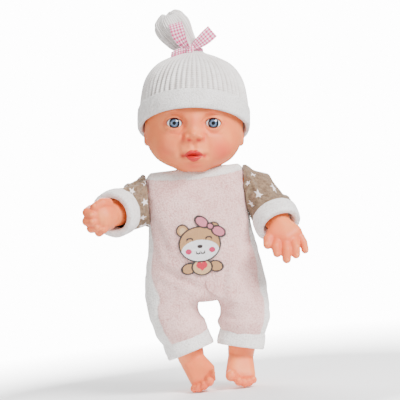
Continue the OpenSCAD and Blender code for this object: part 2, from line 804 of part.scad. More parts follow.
// Open hand, palm down, fingers hanging
open_palm = [[0, 0, 0, 10], [1, -5, -7, 10.5], [2, -9, -12, 8.5]];
open_fingers = [
  [[-6, -8, -8, 5], [-10.5, -14, -14, 4.4], [-11.5, -17, -20, 3.8]],
  [[-4, -11, -15, 4.6], [-5, -16, -22, 4.2], [-5, -18, -28, 3.8]],
  [[3, -12, -16, 4.6], [3, -17, -24, 4.2], [2, -19, -31, 3.8]],
  [[9, -11, -15, 4.4], [10, -15, -22, 4], [11, -16, -28, 3.6]],
  [[12, -6, -11, 4], [16, -9, -18, 3.8], [19, -10, -24, 3.4]]
];
// Curled hand held towards the front
fist_palm = [[0, 0, 0, 10], [-4, -8, -1, 12.5], [-7, -14, -1, 13]];
fist_fingers = [
  [[0, -12, 10, 5], [-4, -20, 11, 4.6], [-10, -22, 8, 4.2]],
  [[-14, -12, 6, 5], [-17, -20, 4, 4.6], [-13, -24, 1, 4.2]],
  [[-16, -12, -1, 5], [-18, -20, -3, 4.6], [-13, -24, -4, 4.2]],
  [[-14, -11, -8, 4.8], [-15, -19, -9, 4.4], [-10, -22, -9, 4]],
  [[-9, -10, -12, 4.4], [-9, -17, -13, 4], [-5, -20, -11, 3.8]]
];

module hand(path, palm, fingers) {
  wrist = head3(path[arm_end]);
  finger(wrist, palm);
  for (f = fingers) finger(wrist, f);
}

module left_arm_shell() {
  color(skin_colour) arm_shell(left_arm_path, left_ref, 1) hand(left_arm_path, open_palm, open_fingers);
}
module right_arm_shell() {
  color(skin_colour) arm_shell(right_arm_path, right_ref, -1) hand(right_arm_path, fist_palm, fist_fingers);
}

// A swivel disc: flange inside the torso, stem through its wall, boss in the limb
module swivel_disc(socket_x, side) {
  inner = disc_inner(socket_x);
  color(shell_colour) {
    x_rod(disc_r, inner, inner + disc_t, side, 64);
    x_rod(stem_r, inner + disc_t, socket_x + seat_gap, side, 64);
    x_rod(disc_r - 1.4, socket_x + seat_gap, socket_x + seat_gap + 2.6, side, 64);
  }
}
module left_shoulder_disc() { at_shoulder() swivel_disc(shoulder_x, 1); }
module right_shoulder_disc() { at_shoulder() swivel_disc(shoulder_x, -1); }

// A sleeve is a loose tube round the arm, cut square at the armhole
function sleeve_path(path) = [for (i = [1 : arm_end]) let (p = path[i])
  [p[0], p[1], p[2], sleeve_r - 0.1 * i]];
sleeve_to = 4.45;                  // where the sleeve ends, on its own path
module sleeve(path, ref, side) {
  p = sleeve_path(path);
  edge = sleeve_x + air;
  color(sleeve_colour) difference() {
    limb(p, ref, to = sleeve_to - 0.5);
    limb(p, ref, grow = -cloth, from = 0.01, to = sleeve_to);
    translate([side > 0 ? edge - big : -edge, -big / 2, 0]) cube([big, big, big]);
  }
}
module wrist_cuff(path, ref) {
  p = sleeve_path(path);
  color(trim_colour) difference() {
    limb(p, ref, grow = cuff_t, from = sleeve_to - 0.49, to = sleeve_to + 0.25, step = 0.2);
    limb(p, ref, grow = -cloth, from = 0, to = sleeve_to + 0.4);
  }
}
module left_sleeve() { sleeve(left_arm_path, left_ref, 1); }
module right_sleeve() { sleeve(right_arm_path, right_ref, -1); }
module left_wrist_cuff() { wrist_cuff(left_arm_path, left_ref); }
module right_wrist_cuff() { wrist_cuff(right_arm_path, right_ref); }

// ---- legs -------------------------------------------------------------------------------------

long = hip_z / 98;
thigh_x = hip_x + 10;              // middle of the thigh at the hip
left_leg_path = [[thigh_x, 0, hip_z, thigh_r], [thigh_x - 0.5, -3, hip_z - 20 * long, thigh_r],
                 [thigh_x - 4.5, -7, hip_z - 44 * long, thigh_r - 2.5],
                 [thigh_x - 8, -5, hip_z - 62 * long, ankle_r + 1.2],
                 [thigh_x - 10, -2, hip_z - 71 * long, ankle_r]];
right_leg_path = [[-thigh_x, 0, hip_z, thigh_r], [-thigh_x + 2, -3, hip_z - 20 * long, thigh_r],
                  [-thigh_x + 9, -7, hip_z - 44 * long, thigh_r - 2.5],
                  [-thigh_x + 13.5, -5, hip_z - 62 * long, ankle_r + 1.2],
                  [-thigh_x + 15, -2, hip_z - 71 * long, ankle_r]];
leg_ref = [1, 0, 0];
leg_end = 4;

// A round hip that lies along X from x0, straight to x1 and domed from there to x2
module hip_dome(r, x0, x1, x2, side) {
  at_hip() rotate([0, side * 90, 0]) rotate_extrude($fn = 48)
    polygon(concat([[0, x0], [r, x0]], [for (a = [0 : 15 : 90]) [r * cos(a), x1 + (x2 - x1) * sin(a)]]));
}

// Keeps the inside of a leg off the torso and crotch through its whole swing
module inner_clearance(side, gap) {
  edge = hip_x + gap;
  translate([side > 0 ? edge - big : -edge, -big / 2, hip_z - inner_cut]) cube([big, big, big]);
}

module foot(ankle, heel, ball, toes) {
  hull() {
    translate(ankle) sphere(r = ankle_r - 0.5, $fn = 16);
    translate(heel) sphere(r = 8.5, $fn = 16);
    for (b = ball) translate(head3(b)) sphere(r = b[3], $fn = 16);
  }
  for (i = [0 : len(toes) - 1]) hull() {
    translate(head3(toes[i])) sphere(r = toes[i][3], $fn = 12);
    translate(0.55 * head3(toes[i]) + 0.45 * head3(ball[i < 2 ? 0 : 1])) sphere(r = toes[i][3], $fn = 12);
  }
}

// Balls of the feet and the toes as [x, y, z, radius], standing on the floor z = 0
left_ball = [[16, -18, 13, 7], [28, -16, 10, 7]];
left_toes = [[13.6, -27, 12, 5.2], [19.6, -27.5, 6.4, 4.2], [24.4, -26.6, 4.6, 4.1],
             [28.8, -25, 4.8, 3.9], [32.4, -22.6, 6.2, 3.6]];
right_ball = [[-4, -18, 15, 7], [-15, -17, 9, 7]];
right_toes = [[1.4, -27, 14.6, 5.4], [-5.6, -28, 9.4, 4.4], [-10.6, -27.5, 6.2, 4.2],
              [-15.4, -26, 4.4, 4], [-19.2, -24, 3.8, 3.8]];

module leg_shell(path, side, ball, toes) {
  ankle = head3(path[leg_end]);
  heel = ankle + [-side * 1.5, 7, -9 * long];
  color(skin_colour) difference() {
    union() {
      difference() {
        union() {
          limb(path, leg_ref);
          hip_dome(thigh_r + 1, hip_x + seat_gap, thigh_x, thigh_x + thigh_r + 0.5, side);
        }
        inner_clearance(side, seat_gap);
      }
      foot(ankle, heel, ball, toes);
    }
    difference() {
      limb(path, leg_ref, grow = -vinyl_wall, from = 0.25, to = leg_end - 0.3, sides = 16);
      inner_clearance(side, seat_gap + vinyl_wall + 3);
    }
    at_hip() x_rod(disc_r - 1, hip_x - 2, hip_x + seat_gap + 3.1, side, 32);
  }
}
module left_leg_shell() { leg_shell(left_leg_path, 1, left_ball, left_toes); }
module right_leg_shell() { leg_shell(right_leg_path, -1, right_ball, right_toes); }
module left_hip_disc() { at_hip() swivel_disc(hip_x, 1); }
module right_hip_disc() { at_hip() swivel_disc(hip_x, -1); }

// A trouser leg: a loose tube round the leg, closed over the hip by its rounded top
function trouser_path(path) = [for (i = [0 : leg_end]) let (p = path[i])
  [p[0], p[1], p[2], i == 0 ? thigh_r + 3 : i < 3 ? thigh_r + 4.4 : ankle_r + 6.6]];
trouser_to = 3.05;                 // where a trouser leg ends, on its own path
trouser_side = thigh_x + thigh_r + cloth + 1.4;   // outermost point of a trouser at the hip
module trouser(path, side) {
  p = trouser_path(path);
  color(terry_colour) difference() {
    union() {
      limb(p, leg_ref, to = trouser_to - 0.42);
      hip_dome(trouser_r - 1.4, hip_x + air, thigh_x + 2, trouser_side, side);
    }
    limb(p, leg_ref, grow = -cloth, from = 0.02, to = trouser_to);
    hip_dome(trouser_r - 1.4 - cloth, hip_x - 2, thigh_x + 2, trouser_side - cloth, side);
    inner_clearance(side, air);
  }
}
module ankle_cuff(path, side) {
  p = trouser_path(path);
  color(trim_colour) difference() {
    limb(p, leg_ref, grow = cuff_t, from = trouser_to - 0.41, to = trouser_to + 0.12, step = 0.15);
    limb(p, leg_ref, grow = -cloth, from = 0.02, to = trouser_to + 0.4);
    inner_clearance(side, air);
  }
}
module left_trouser() { trouser(left_leg_path, 1); }
module right_trouser() { trouser(right_leg_path, -1); }
module left_ankle_cuff() { ankle_cuff(left_leg_path, 1); }
module right_ankle_cuff() { ankle_cuff(right_leg_path, -1); }

// ---- nodes ------------------------------------------------------------------------------------

// Sets the middle of the whole doll, from fist to hat and from hand to hand, over the origin
reach_front = (38 + 24 + 4) * arm_len;
reach_back = hat_ry + hat_t + cuff_t;
reach_right = shoulder_x + (41.5 + 18) * arm_len + 4.6;
reach_left = shoulder_x + (35.5 + 19) * arm_len + 3.6;
module stand() {
  translate([(reach_right - reach_left) / 2, (reach_front - reach_back) / 2, 0]) children();
}

stand() torso_front_shell();
stand() torso_back_shell();
stand() torso_screws();
stand() neck_post();
stand() battery_box();
stand() battery_cells();
stand() battery_springs();
stand() battery_plates();
stand() battery_door();
stand() battery_door_screw();
stand() sound_board();
stand() sound_chip();
stand() press_switch();
stand() board_screws();
stand() speaker_basket();
stand() speaker_cone();
stand() speaker_ring();
stand() belly_button();
stand() belly_button_spring();
stand() power_switch_body();
stand() power_switch_knob();
stand() battery_wires();
stand() speaker_wires();
stand() romper_body();
stand() romper_collar();
stand() romper_back_tape();
stand() bear_patch();
stand() head_shell();
stand() left_eye();
stand() right_eye();
stand() hat_crown();
stand() hat_cuff();
stand() hat_tassel();
stand() hat_ribbon();
stand() left_arm_shell();
stand() left_shoulder_disc();
stand() left_sleeve();
stand() left_wrist_cuff();
stand() right_arm_shell();
stand() right_shoulder_disc();
stand() right_sleeve();
stand() right_wrist_cuff();
stand() left_leg_shell();
stand() left_hip_disc();
stand() left_trouser();
stand() left_ankle_cuff();
stand() right_leg_shell();
stand() right_hip_disc();
stand() right_trouser();
stand() right_ankle_cuff();
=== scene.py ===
import bisect
import json
import math

import bmesh
import bpy
from mathutils import Matrix, Vector, noise


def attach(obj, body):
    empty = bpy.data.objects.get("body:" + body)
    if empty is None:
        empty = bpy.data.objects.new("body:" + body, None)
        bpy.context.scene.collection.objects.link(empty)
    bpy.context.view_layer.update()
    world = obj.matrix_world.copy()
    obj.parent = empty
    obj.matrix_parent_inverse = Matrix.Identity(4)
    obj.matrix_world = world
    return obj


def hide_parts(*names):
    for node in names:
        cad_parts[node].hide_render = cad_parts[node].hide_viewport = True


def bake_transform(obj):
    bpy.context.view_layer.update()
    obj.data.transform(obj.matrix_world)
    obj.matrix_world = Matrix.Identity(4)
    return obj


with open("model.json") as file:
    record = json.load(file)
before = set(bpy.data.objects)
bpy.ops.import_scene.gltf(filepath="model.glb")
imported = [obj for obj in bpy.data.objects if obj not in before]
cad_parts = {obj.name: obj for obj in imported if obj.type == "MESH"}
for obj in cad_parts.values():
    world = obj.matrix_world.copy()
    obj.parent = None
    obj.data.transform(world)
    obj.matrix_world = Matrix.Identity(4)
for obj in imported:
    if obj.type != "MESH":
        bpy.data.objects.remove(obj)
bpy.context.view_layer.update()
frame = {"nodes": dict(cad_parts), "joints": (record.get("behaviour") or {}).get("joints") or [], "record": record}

# ---- studio ---------------------------------------------------------------------------------------
# A plain pale floor in a white room, with a broad soft key light from the upper right, a weaker fill
# from the left and one from behind. The camera looks straight at the doll's front, level with it.

neck = next(j for j in frame["joints"] if j["name"] == "neck_turn")
MIDDLE = Vector((neck["pos_m"][0], neck["pos_m"][1], 0))      # the doll's own middle, on the floor
LEAN = math.radians(6)       # how far the head leans on its neck, and the camera with it

bpy.ops.mesh.primitive_circle_add(vertices=64, radius=0.62, fill_type="NGON", location=(0, 0, 0))
floor = bpy.context.object
floor.name = "studio_floor"
paper = bpy.data.materials.new("floor_paper")
paper.use_nodes = True
paper_nodes = paper.node_tree.nodes
paper_nodes["Principled BSDF"].inputs["Base Color"].default_value = (0.95, 0.95, 0.95, 1)
paper_nodes["Principled BSDF"].inputs["Roughness"].default_value = 0.9
from_middle = paper_nodes.new("ShaderNodeVectorMath")
from_middle.operation = "LENGTH"
fade = paper_nodes.new("ShaderNodeMapRange")     # the paper thins out towards its edge
for socket, value in ((1, 0.22), (2, 0.6), (3, 1.0), (4, 0.0)):
    fade.inputs[socket].default_value = value
for a, b in ((paper_nodes.new("ShaderNodeTexCoord").outputs["Object"], from_middle.inputs[0]),
             (from_middle.outputs["Value"], fade.inputs[0]),
             (fade.outputs[0], paper_nodes["Principled BSDF"].inputs["Alpha"])):
    paper.node_tree.links.new(a, b)
floor.data.materials.append(paper)

ROOM_LIGHT, ROOM_WHITE = 0.62, 14.0       # light that the room gives, and how bright it looks itself
world = bpy.data.worlds.new("white_room")
world.use_nodes = True
room = world.node_tree.nodes["Background"]
seen = world.node_tree.nodes.new("ShaderNodeLightPath")
shade = world.node_tree.nodes.new("ShaderNodeMapRange")
shade.inputs[3].default_value, shade.inputs[4].default_value = ROOM_LIGHT, ROOM_WHITE
world.node_tree.links.new(seen.outputs["Is Camera Ray"], shade.inputs[0])
world.node_tree.links.new(shade.outputs[0], room.inputs["Strength"])
room.inputs["Color"].default_value = (1, 1, 1, 1)
bpy.context.scene.world = world

for name, place, size, power in (
        ("key", (0.9, -1.0, 1.05), 0.6, 66), ("fill", (-1.1, -0.9, 0.35), 0.9, 10),
        ("back", (-0.3, 1.2, 1.0), 0.8, 34)):
    lamp = bpy.data.lights.new(name, "AREA")
    lamp.energy, lamp.size = power, size
    light = bpy.data.objects.new(name, lamp)
    light.location = place
    aim = Vector((0, 0, 0.17)) - light.location
    light.rotation_euler = aim.to_track_quat("-Z", "Y").to_euler()
    bpy.context.scene.collection.objects.link(light)

CAMERA_AWAY = 1.5            # metres in front of the doll
VIEW_SPAN = 0.352            # metres across the picture, at the doll
lens = bpy.data.cameras.new("camera")
lens.angle = 2 * math.atan(VIEW_SPAN / 2 / CAMERA_AWAY)
camera = bpy.data.objects.new("camera", lens)
camera.matrix_world = Matrix.Translation((MIDDLE.x + 0.0027, MIDDLE.y - CAMERA_AWAY, 0.1659)) \
    @ Matrix.Rotation(LEAN, 4, "Y") @ Matrix.Rotation(math.radians(90), 4, "X")
bpy.context.scene.collection.objects.link(camera)
bpy.context.scene.camera = camera


# ---- head -----------------------------------------------------------------------------------------
# A hollow rotocast vinyl head: round cheeks, a button nose, pouting painted lips and cut eye holes.
# The vinyl is sprayed in flesh colour, with blush on the cheeks and round the eyes, and painted shade in the inner
# eye corners, beside, under and in the nose, round the eye holes and in the parting of the lips.

class Wire:
    """The output of a shader node. Sums and products of wires add their own Math nodes."""

    def __init__(self, finish, socket):
        self.finish, self.socket = finish, socket

    def __add__(self, other):
        return self.finish.maths("ADD", self, other)

    def __sub__(self, other):
        return self.finish.maths("SUBTRACT", self, other)

    def __rsub__(self, other):
        return self.finish.maths("SUBTRACT", other, self)

    def __mul__(self, other):
        return self.finish.maths("MULTIPLY", self, other)

    __radd__, __rmul__ = __add__, __mul__


class Finish:
    """A named material. The fixed numbers of its shader are set straight on the shader's sockets."""

    def __init__(self, name, **fixed):
        self.material = bpy.data.materials.new(name)
        self.material.use_nodes = True
        self.tree = self.material.node_tree
        self.shader = self.tree.nodes["Principled BSDF"]
        for socket, value in fixed.items():
            self.shader.inputs[socket.replace("_", " ")].default_value = value

    def node(self, kind, settings=None, inputs=None, out=0):
        made = self.tree.nodes.new(kind)
        for key, value in (settings or {}).items():
            if key == "stops":
                while len(made.color_ramp.elements) < len(value):
                    made.color_ramp.elements.new(0.5)
                for stop, (place, colour) in zip(made.color_ramp.elements, value):
                    stop.position, stop.color = place, colour
            else:
                setattr(made, key, value)
        for key, value in (inputs or {}).items():
            self.set(made.inputs[key], value)
        return Wire(self, made.outputs[out])

    def set(self, socket, value):
        if isinstance(value, Wire):
            self.tree.links.new(value.socket, socket)
        else:
            socket.default_value = value

    def feed(self, **varying):
        for socket, value in varying.items():
            self.set(self.shader.inputs[socket.replace("_", " ")], value)
        return self

    def place(self):
        return self.node("ShaderNodeTexCoord", out="Object")

    def grain(self, scale, detail=2.0, rough=0.5):
        """Noise from 0 to 1, with scale in lumps per metre."""
        return self.node("ShaderNodeTexNoise", {}, {"Vector": self.place(), "Scale": scale,
                                                    "Detail": detail, "Roughness": rough})

    def between(self, factor, a, b, blend="MIX"):
        """Colour a where factor is 0 and b where it is 1."""
        return self.node("ShaderNodeMix", {"data_type": "RGBA", "blend_type": blend},
                         {0: factor, 6: a, 7: b}, out=2)

    def ramp(self, wire, low, high, at_low=0.0, at_high=1.0):
        return self.node("ShaderNodeMapRange", {"interpolation_type": "SMOOTHSTEP"},
                         {0: wire, 1: low, 2: high, 3: at_low, 4: at_high})

    def relief(self, height, deep, strength=1.0):
        """A bump of that depth in metres."""
        return self.node("ShaderNodeBump", {}, {"Height": height, "Distance": deep, "Strength": strength})

    def colours(self, layer):
        """A colour attribute that was painted on the mesh."""
        return self.node("ShaderNodeAttribute", {"attribute_name": layer})

    def painted(self, layer, channel):
        """One channel of such an attribute."""
        return self.node("ShaderNodeSeparateColor", {}, {0: self.colours(layer)}, out="RGB".index(channel))

    def waves(self, where, direction, scale, **more):
        """Soft parallel bands across the named axis, such as rows of thread."""
        settings = {"wave_type": "BANDS", "bands_direction": direction}
        inputs = {"Vector": where, "Scale": scale, **{k.replace("_", " "): v for k, v in more.items()}}
        return self.node("ShaderNodeTexWave", settings, inputs, out=1)

    def axis(self, vector, number):
        """X, Y or Z of a vector, as 0, 1 or 2."""
        return self.node("ShaderNodeSeparateXYZ", {}, {0: vector}, out=number)

    def vector_maths(self, operation, inputs, out=0):
        return self.node("ShaderNodeVectorMath", {"operation": operation}, inputs, out)

    def maths(self, operation, *values):
        return self.node("ShaderNodeMath", {"operation": operation}, dict(enumerate(values)))


def ink(red, green, blue):
    """A screen colour, 0 to 255, as the linear colour that a shader takes."""
    linear = [(c / 255 / 12.92 if c < 11 else ((c / 255 + 0.055) / 1.055) ** 2.4) for c in (red, green, blue)]
    return (*linear, 1)


def on_curve(points, t):
    """A point on the smooth curve through points, at t from 0 to the last index."""
    last = len(points) - 1
    i = min(int(t), last - 1)
    u = t - i
    a, b, c, d = (points[min(max(k, 0), last)] for k in (i - 1, i, i + 1, i + 2))
    return [0.5 * (2 * q + (r - p) * u + (2 * p - 5 * q + 4 * r - s) * u * u
                   + (3 * q - p - 3 * r + s) * u ** 3) for p, q, r, s in zip(a, b, c, d)]


def smooth(low, high, value):
    """A soft step from 0 at low to 1 at high."""
    t = min(max((value - low) / (high - low), 0), 1)
    return t * t * (3 - 2 * t)


def mound(x, z, at, wide, tall, turn=0):
    """A soft round hump: 1 at its top, falling off over its width and height."""
    dx, dz = x - at[0], z - at[1]
    c, s = math.cos(turn), math.sin(turn)
    return math.exp(-((dx * c + dz * s) / wide) ** 2 - ((dz * c - dx * s) / tall) ** 2)


def wrapped(around, along, place):
    """A tube of quads: place(u, v) puts each point, u once around it and v along it, or round its
    section where closed. Ends that come to a point are merged into a pole."""
    bm = bmesh.new()
    bm.loops.layers.uv.new("UVMap")
    bmesh.ops.create_grid(bm, x_segments=around, y_segments=along, size=0.5, calc_uvs=True)
    for v in bm.verts:
        v.co = place(v.co.x + 0.5, v.co.y + 0.5)
    bmesh.ops.remove_doubles(bm, verts=bm.verts, dist=1e-5)
    bmesh.ops.dissolve_degenerate(bm, dist=1e-6, edges=bm.edges)
    bmesh.ops.recalc_face_normals(bm, faces=bm.faces)
    return bm


def in_head(x, y, z):
    """A point of the leaning head, in mm above its neck seat, as a point of the doll."""
    return Vector((x * math.cos(LEAN) + z * math.sin(LEAN), y, neck["pos_m"][2] * 1000
                   + z * math.cos(LEAN) - x * math.sin(LEAN)))


def piece(bm, name, body, finish, replaces=(), sharp=180):
    """Stands a mesh that was made in millimetres round the doll's middle in its place on a body."""
    bm.transform(Matrix.Translation(MIDDLE) @ Matrix.Scale(0.001, 4))
    for f in bm.faces:
        f.smooth = True
    for e in bm.edges:       # a fold sharper than this keeps its edge
        e.smooth = e.calc_face_angle(0) < math.radians(sharp)
    mesh = bpy.data.meshes.new(name)
    bm.to_mesh(mesh)
    bm.free()
    made = bpy.data.objects.new(name, mesh)
    bpy.context.scene.collection.objects.link(made)
    made.data.materials.append(finish.material)
    if body:
        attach(made, body)
    if replaces:
        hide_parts(*replaces)
    return made


HEAD_FORM = [  # height above the neck seat, middle in y, half width, half depth
    [0, -5, 13, 20], [2.5, -5, 16, 26], [6.5, -4.6, 24.8, 32.5], [12, -3.6, 33, 37.5], [21, -1.8, 39.6, 41.2],
    [32, -0.4, 42.6, 44],
    [46, 0, 43, 46], [61, 0.5, 42.4, 45.6], [75, 1, 39.5, 42.5], [86, 1, 33.5, 36.5], [94, 1, 25, 28],
    [99, 1, 14, 16], [101, 1, 2, 2.4]]
EYE_X, EYE_Z, EYE_Y, EYE_R = 16.7, 41, -34.2, 8.6
LID = 0.7                    # thickness of the vinyl over the eyeball
HOLE_W, HOLE_UP, HOLE_DOWN = 6.5, 4.5, 4.2

# Humps and hollows of the face: ((x, z), width, height, rise), mirrored where x isn't 0
FACE = [
    ((0, 31.0), 4.8, 4.1, 7.4), ((0, 38.5), 4.4, 7.5, 2.6), ((6.0, 28.8), 2.6, 2.5, 4.6),
    ((9.8, 29.4), 1.8, 3.2, -1.2), ((4.0, 26.8), 1.6, 1.0, -2.0), ((0, 22.2), 1.5, 3.0, -1.1),
    ((3.2, 21.8), 1.6, 3.2, 0.6),
    ((0, 15), 13, 9, 2.6), ((3.0, 16.2), 3.3, 1.7, 1.9), ((2.0, 10.6), 3.9, 2.0, 2.2),
    ((0, 13.3), 7.0, 0.8, -1.7), ((10.6, 13.4), 2.4, 2.2, -1.7), ((0, 7.6), 6.5, 1.5, -1.1),
    ((0, 3.2), 8, 4.2, 3.0), ((24, 20), 10, 11, 3.2), ((12.6, 18), 2.0, 7, -1.1),
    ((9.2, 40), 3.2, 5.5, -1.8), ((17, 51.5), 9, 3.4, 1.0), ((25.6, 41), 2.6, 3.2, -0.7),
    ((16, 34.2), 7, 1.7, 0.9), ((15.5, 31.4), 8, 1.4, -0.5), ((0, 47), 6, 7, 0.6)]


def face_rise(x, z):
    """How far the face stands off the plain form of the head."""
    return sum(rise * (mound(x, z, at, w, h) + (mound(x, z, (-at[0], at[1]), w, h) if at[0] else 0))
               for at, w, h, rise in FACE)


steps = []                   # where each row of the head lies on its form, closest in the face
for i in range(len(HEAD_FORM) - 1):
    rise = HEAD_FORM[i + 1][0] - HEAD_FORM[i][0]
    rows = max(3, round(rise * (2.1 if HEAD_FORM[i][0] < 60 else 0.8)))
    steps += [i + k / rows for k in range(rows)]
steps = [(0, s) for s in (0, 0.3, 0.6, 0.85)] + [(t, 1) for t in steps] + [(10.99, 1), (11, 0.4), (11, 0)]


def head_point(u, v):
    """The vinyl of the head: its form, the face's rise, and two eye holes turned in over the eyeballs."""
    t, shrink = steps[min(round(v * (len(steps) - 1)), len(steps) - 1)]
    z, middle, rx, ry = on_curve(HEAD_FORM, t)
    a = 2 * math.pi * u
    turn = a - 0.45 * math.sin(a)
    x, y = rx * shrink * math.sin(turn), middle - ry * shrink * math.cos(turn)
    if y < 0 and shrink == 1:
        out = Vector((x / rx / rx, (y - middle) / ry / ry, 0)).normalized()
        rise = face_rise(x, z) * smooth(0, -14, y)
        x, y = x + out.x * rise, y + out.y * rise
        for side in (-1, 1):
            dx, dz = x - side * EYE_X, z - EYE_Z
            far = math.hypot(dx, dz)
            if far > EYE_R + 3 or y > -20:
                continue
            tall = HOLE_UP if dz > 0 else HOLE_DOWN
            rim = math.hypot(dx / HOLE_W, dz / tall * (1 + 0.28 * (dx / HOLE_W) ** 2))
            reach = EYE_R + LID
            if rim < 1.1:
                grow = 1 / rim if rim > 0.8 else 0.955 / 0.8
                dx, dz = dx * grow, dz * grow
                x, z = side * EYE_X + dx, EYE_Z + dz
                ball = reach if rim > 0.8 else EYE_R - 2
                y = EYE_Y - math.sqrt(ball ** 2 - dx * dx - dz * dz)
            else:
                ball = EYE_Y - math.sqrt(max((reach + 0.35 * smooth(1.1, 1.35, rim)) ** 2 - far * far, 9))
                near = smooth(EYE_R + 2.2, EYE_R - 2.6, far)
                y = y + (ball - y) * near
                if dz > 0:
                    y += 0.5 * math.exp(-((rim - 1.62) / 0.13) ** 2)
    return Vector((x, y, z))


head = wrapped(230, len(steps) - 1, head_point)
paint = head.verts.layers.float_color.new("paint")
for v in head.verts:
    x, y, z = v.co
    front = smooth(-20, -30, y)
    ax = abs(x)
    top = 13.6 + 4.9 * max(0, 1 - (ax / 8.2) ** 2) - 0.8 * math.exp(-(x / 1.3) ** 2)
    low = 13.4 - 5.4 * max(0, 1 - (ax / 7.6) ** 2)
    lip = smooth(-0.5, 0.6, min(top - z, z - low)) * smooth(8.4, 7.2, ax)
    corner = mound(ax, z, (9.0, 13.2), 2.5, 2.2)
    lip = min(1, lip + 0.9 * corner) * front
    # Green of "paint": blush on the cheeks, the outer eye corners, under and above the eyes, the bridge and the
    # chin, and painted shade in the inner eye corners, beside the nose, in the nostrils and under the nose.
    blush = 0.85 * mound(x, z, (25, 17), 9, 9) + 0.5 * mound(x, z, (-25, 17), 9, 9) \
        + 0.45 * mound(ax, z, (24.8, 41), 3.2, 2.4) + 0.35 * mound(ax, z, (16, 33), 8, 2.2) \
        + 0.4 * mound(ax, z, (8.4, 40), 2.6, 4.5) + 0.28 * mound(ax, z, (16, 50), 9, 3.5) \
        + 0.55 * mound(x, z, (0, 5), 9, 3.4) + 0.7 * mound(ax, z, (8.9, 28), 1.8, 3.4) \
        + 0.35 * mound(x, z, (0, 24.6), 5, 1.4) \
        + 1.5 * mound(ax, z, (4.1, 26.4), 1.9, 1.1) + 0.3 * mound(x, z, (0, 42), 5, 6)
    # Blue of "paint": painted shade round the rims of the eye holes, more along the upper lids, and in the parting
    # of the lips.
    eye_rim_shade = 0.0
    for side in (-1, 1):
        dx, dz = x - side * EYE_X, z - EYE_Z
        tall = HOLE_UP if dz > 0 else HOLE_DOWN
        rim = math.hypot(dx / HOLE_W, dz / tall)
        eye_rim_shade = max(eye_rim_shade, (1 - smooth(1.0, 1.22 if dz > 0 else 1.12, rim)) * (1 if dz > -1 else 0.55))
    lip_parting_shade = mound(x, z, (0, 13.5 - 0.012 * x * x), 8.0, 0.55)
    v[paint] = (lip, min(1, blush) * front, max(eye_rim_shade, 0.8 * lip_parting_shade) * front, 1)

# Small flat ears that stand out under the hat, with a hollow in each
for side in (-1, 1):
    ear = bmesh.ops.create_uvsphere(head, u_segments=28, v_segments=20, radius=1)["verts"]
    for v in ear:
        x, y, z = v.co
        hollow = 1.5 * math.exp(-((y + 0.1) / 0.5) ** 2 - (z / 0.55) ** 2) * smooth(0, 0.6, x)
        v.co = (side * (40.6 + x * 4.6 - hollow - 0.4 * z), 2.5 + y * 6.4 + x * 1.6, 31.5 + z * 8.6)
        v[paint] = (0, 0.8 * smooth(0.2, 1.3, hollow) + 0.15, 0, 1)
bmesh.ops.recalc_face_normals(head, faces=head.faces)
for v in head.verts:
    v.co = in_head(*v.co)


def skin(name, painted_face=False):
    """Soft sprayed vinyl: flesh colour with faint blotches, fine grain and a little light let in."""
    vinyl = Finish(name, Subsurface_Weight=0.22, Subsurface_Scale=0.004, Specular_IOR_Level=0.42)
    vinyl.shader.inputs["Subsurface Radius"].default_value = (1.0, 0.38, 0.22)
    tone = vinyl.between(vinyl.ramp(vinyl.grain(38, 3), 0.35, 0.7), ink(230, 116, 62), ink(238, 136, 78))
    bump = vinyl.relief(vinyl.grain(2600, 2), 0.00012)
    if painted_face:
        # Green of "paint": blush, with painted shade in the inner eye corners, beside and under the nose and in
        # the nostrils.
        tone = vinyl.between(vinyl.painted("paint", "G") * 0.8, tone, ink(214, 56, 44))
        lips = vinyl.between(vinyl.ramp(vinyl.grain(900, 2), 0.3, 0.7), ink(176, 4, 8), ink(200, 18, 20))
        tone = vinyl.between(vinyl.painted("paint", "R"), tone, lips)
        # Blue of "paint": dark red painted shade round the eye holes and in the parting of the lips.
        tone = vinyl.between(vinyl.painted("paint", "B"), tone, ink(112, 26, 20))
        sheen = 0.5 - vinyl.painted("paint", "R") * 0.14
        vinyl.feed(Roughness=sheen + vinyl.grain(60, 2) * 0.08)
    else:
        tone = vinyl.between(vinyl.painted("paint", "G"), tone, ink(212, 70, 36))
        vinyl.feed(Roughness=0.46 + vinyl.grain(60, 2) * 0.1)
    return vinyl.feed(Base_Color=tone, Normal=bump)


face_vinyl = skin("face_vinyl", painted_face=True)
piece(head, "doll_head", "head", face_vinyl, ["head_shell"])


# ---- eyes -----------------------------------------------------------------------------------------
# Two acrylic eyeballs pressed into the head: a white ball, a printed grey-blue iris with a dark ring
# round it, a black pupil, and a clear glossy coat.

IRIS_R, PUPIL_R = 4.7, 1.6
acrylic = Finish("eye_acrylic", Coat_Roughness=0.03, Specular_IOR_Level=0.3)
spot = acrylic.node("ShaderNodeUVMap", {"uv_map": "gaze"})
across = acrylic.vector_maths("SUBTRACT", {0: spot, 1: (0.5, 0.5, 0)})
away = acrylic.vector_maths("LENGTH", {0: across}, out=1) * (4 * EYE_R)      # mm from the iris's middle
spoke = acrylic.vector_maths("NORMALIZE", {0: across})
streaks = acrylic.node("ShaderNodeTexNoise", {}, {"Vector": spoke, "Scale": 14.0, "Detail": 3.0})
iris = acrylic.between(acrylic.ramp(streaks, 0.35, 0.65), ink(34, 50, 78), ink(92, 114, 142))
iris = acrylic.between(acrylic.ramp(away, 1.4, 2.8) * 0.5 + 0.5, ink(112, 132, 154), iris)
iris = acrylic.between(acrylic.ramp(away, 2.5, 3.5), iris, ink(4, 6, 12))
iris = acrylic.between(acrylic.ramp(away, PUPIL_R + 0.15, PUPIL_R - 0.15), iris, ink(6, 6, 8))
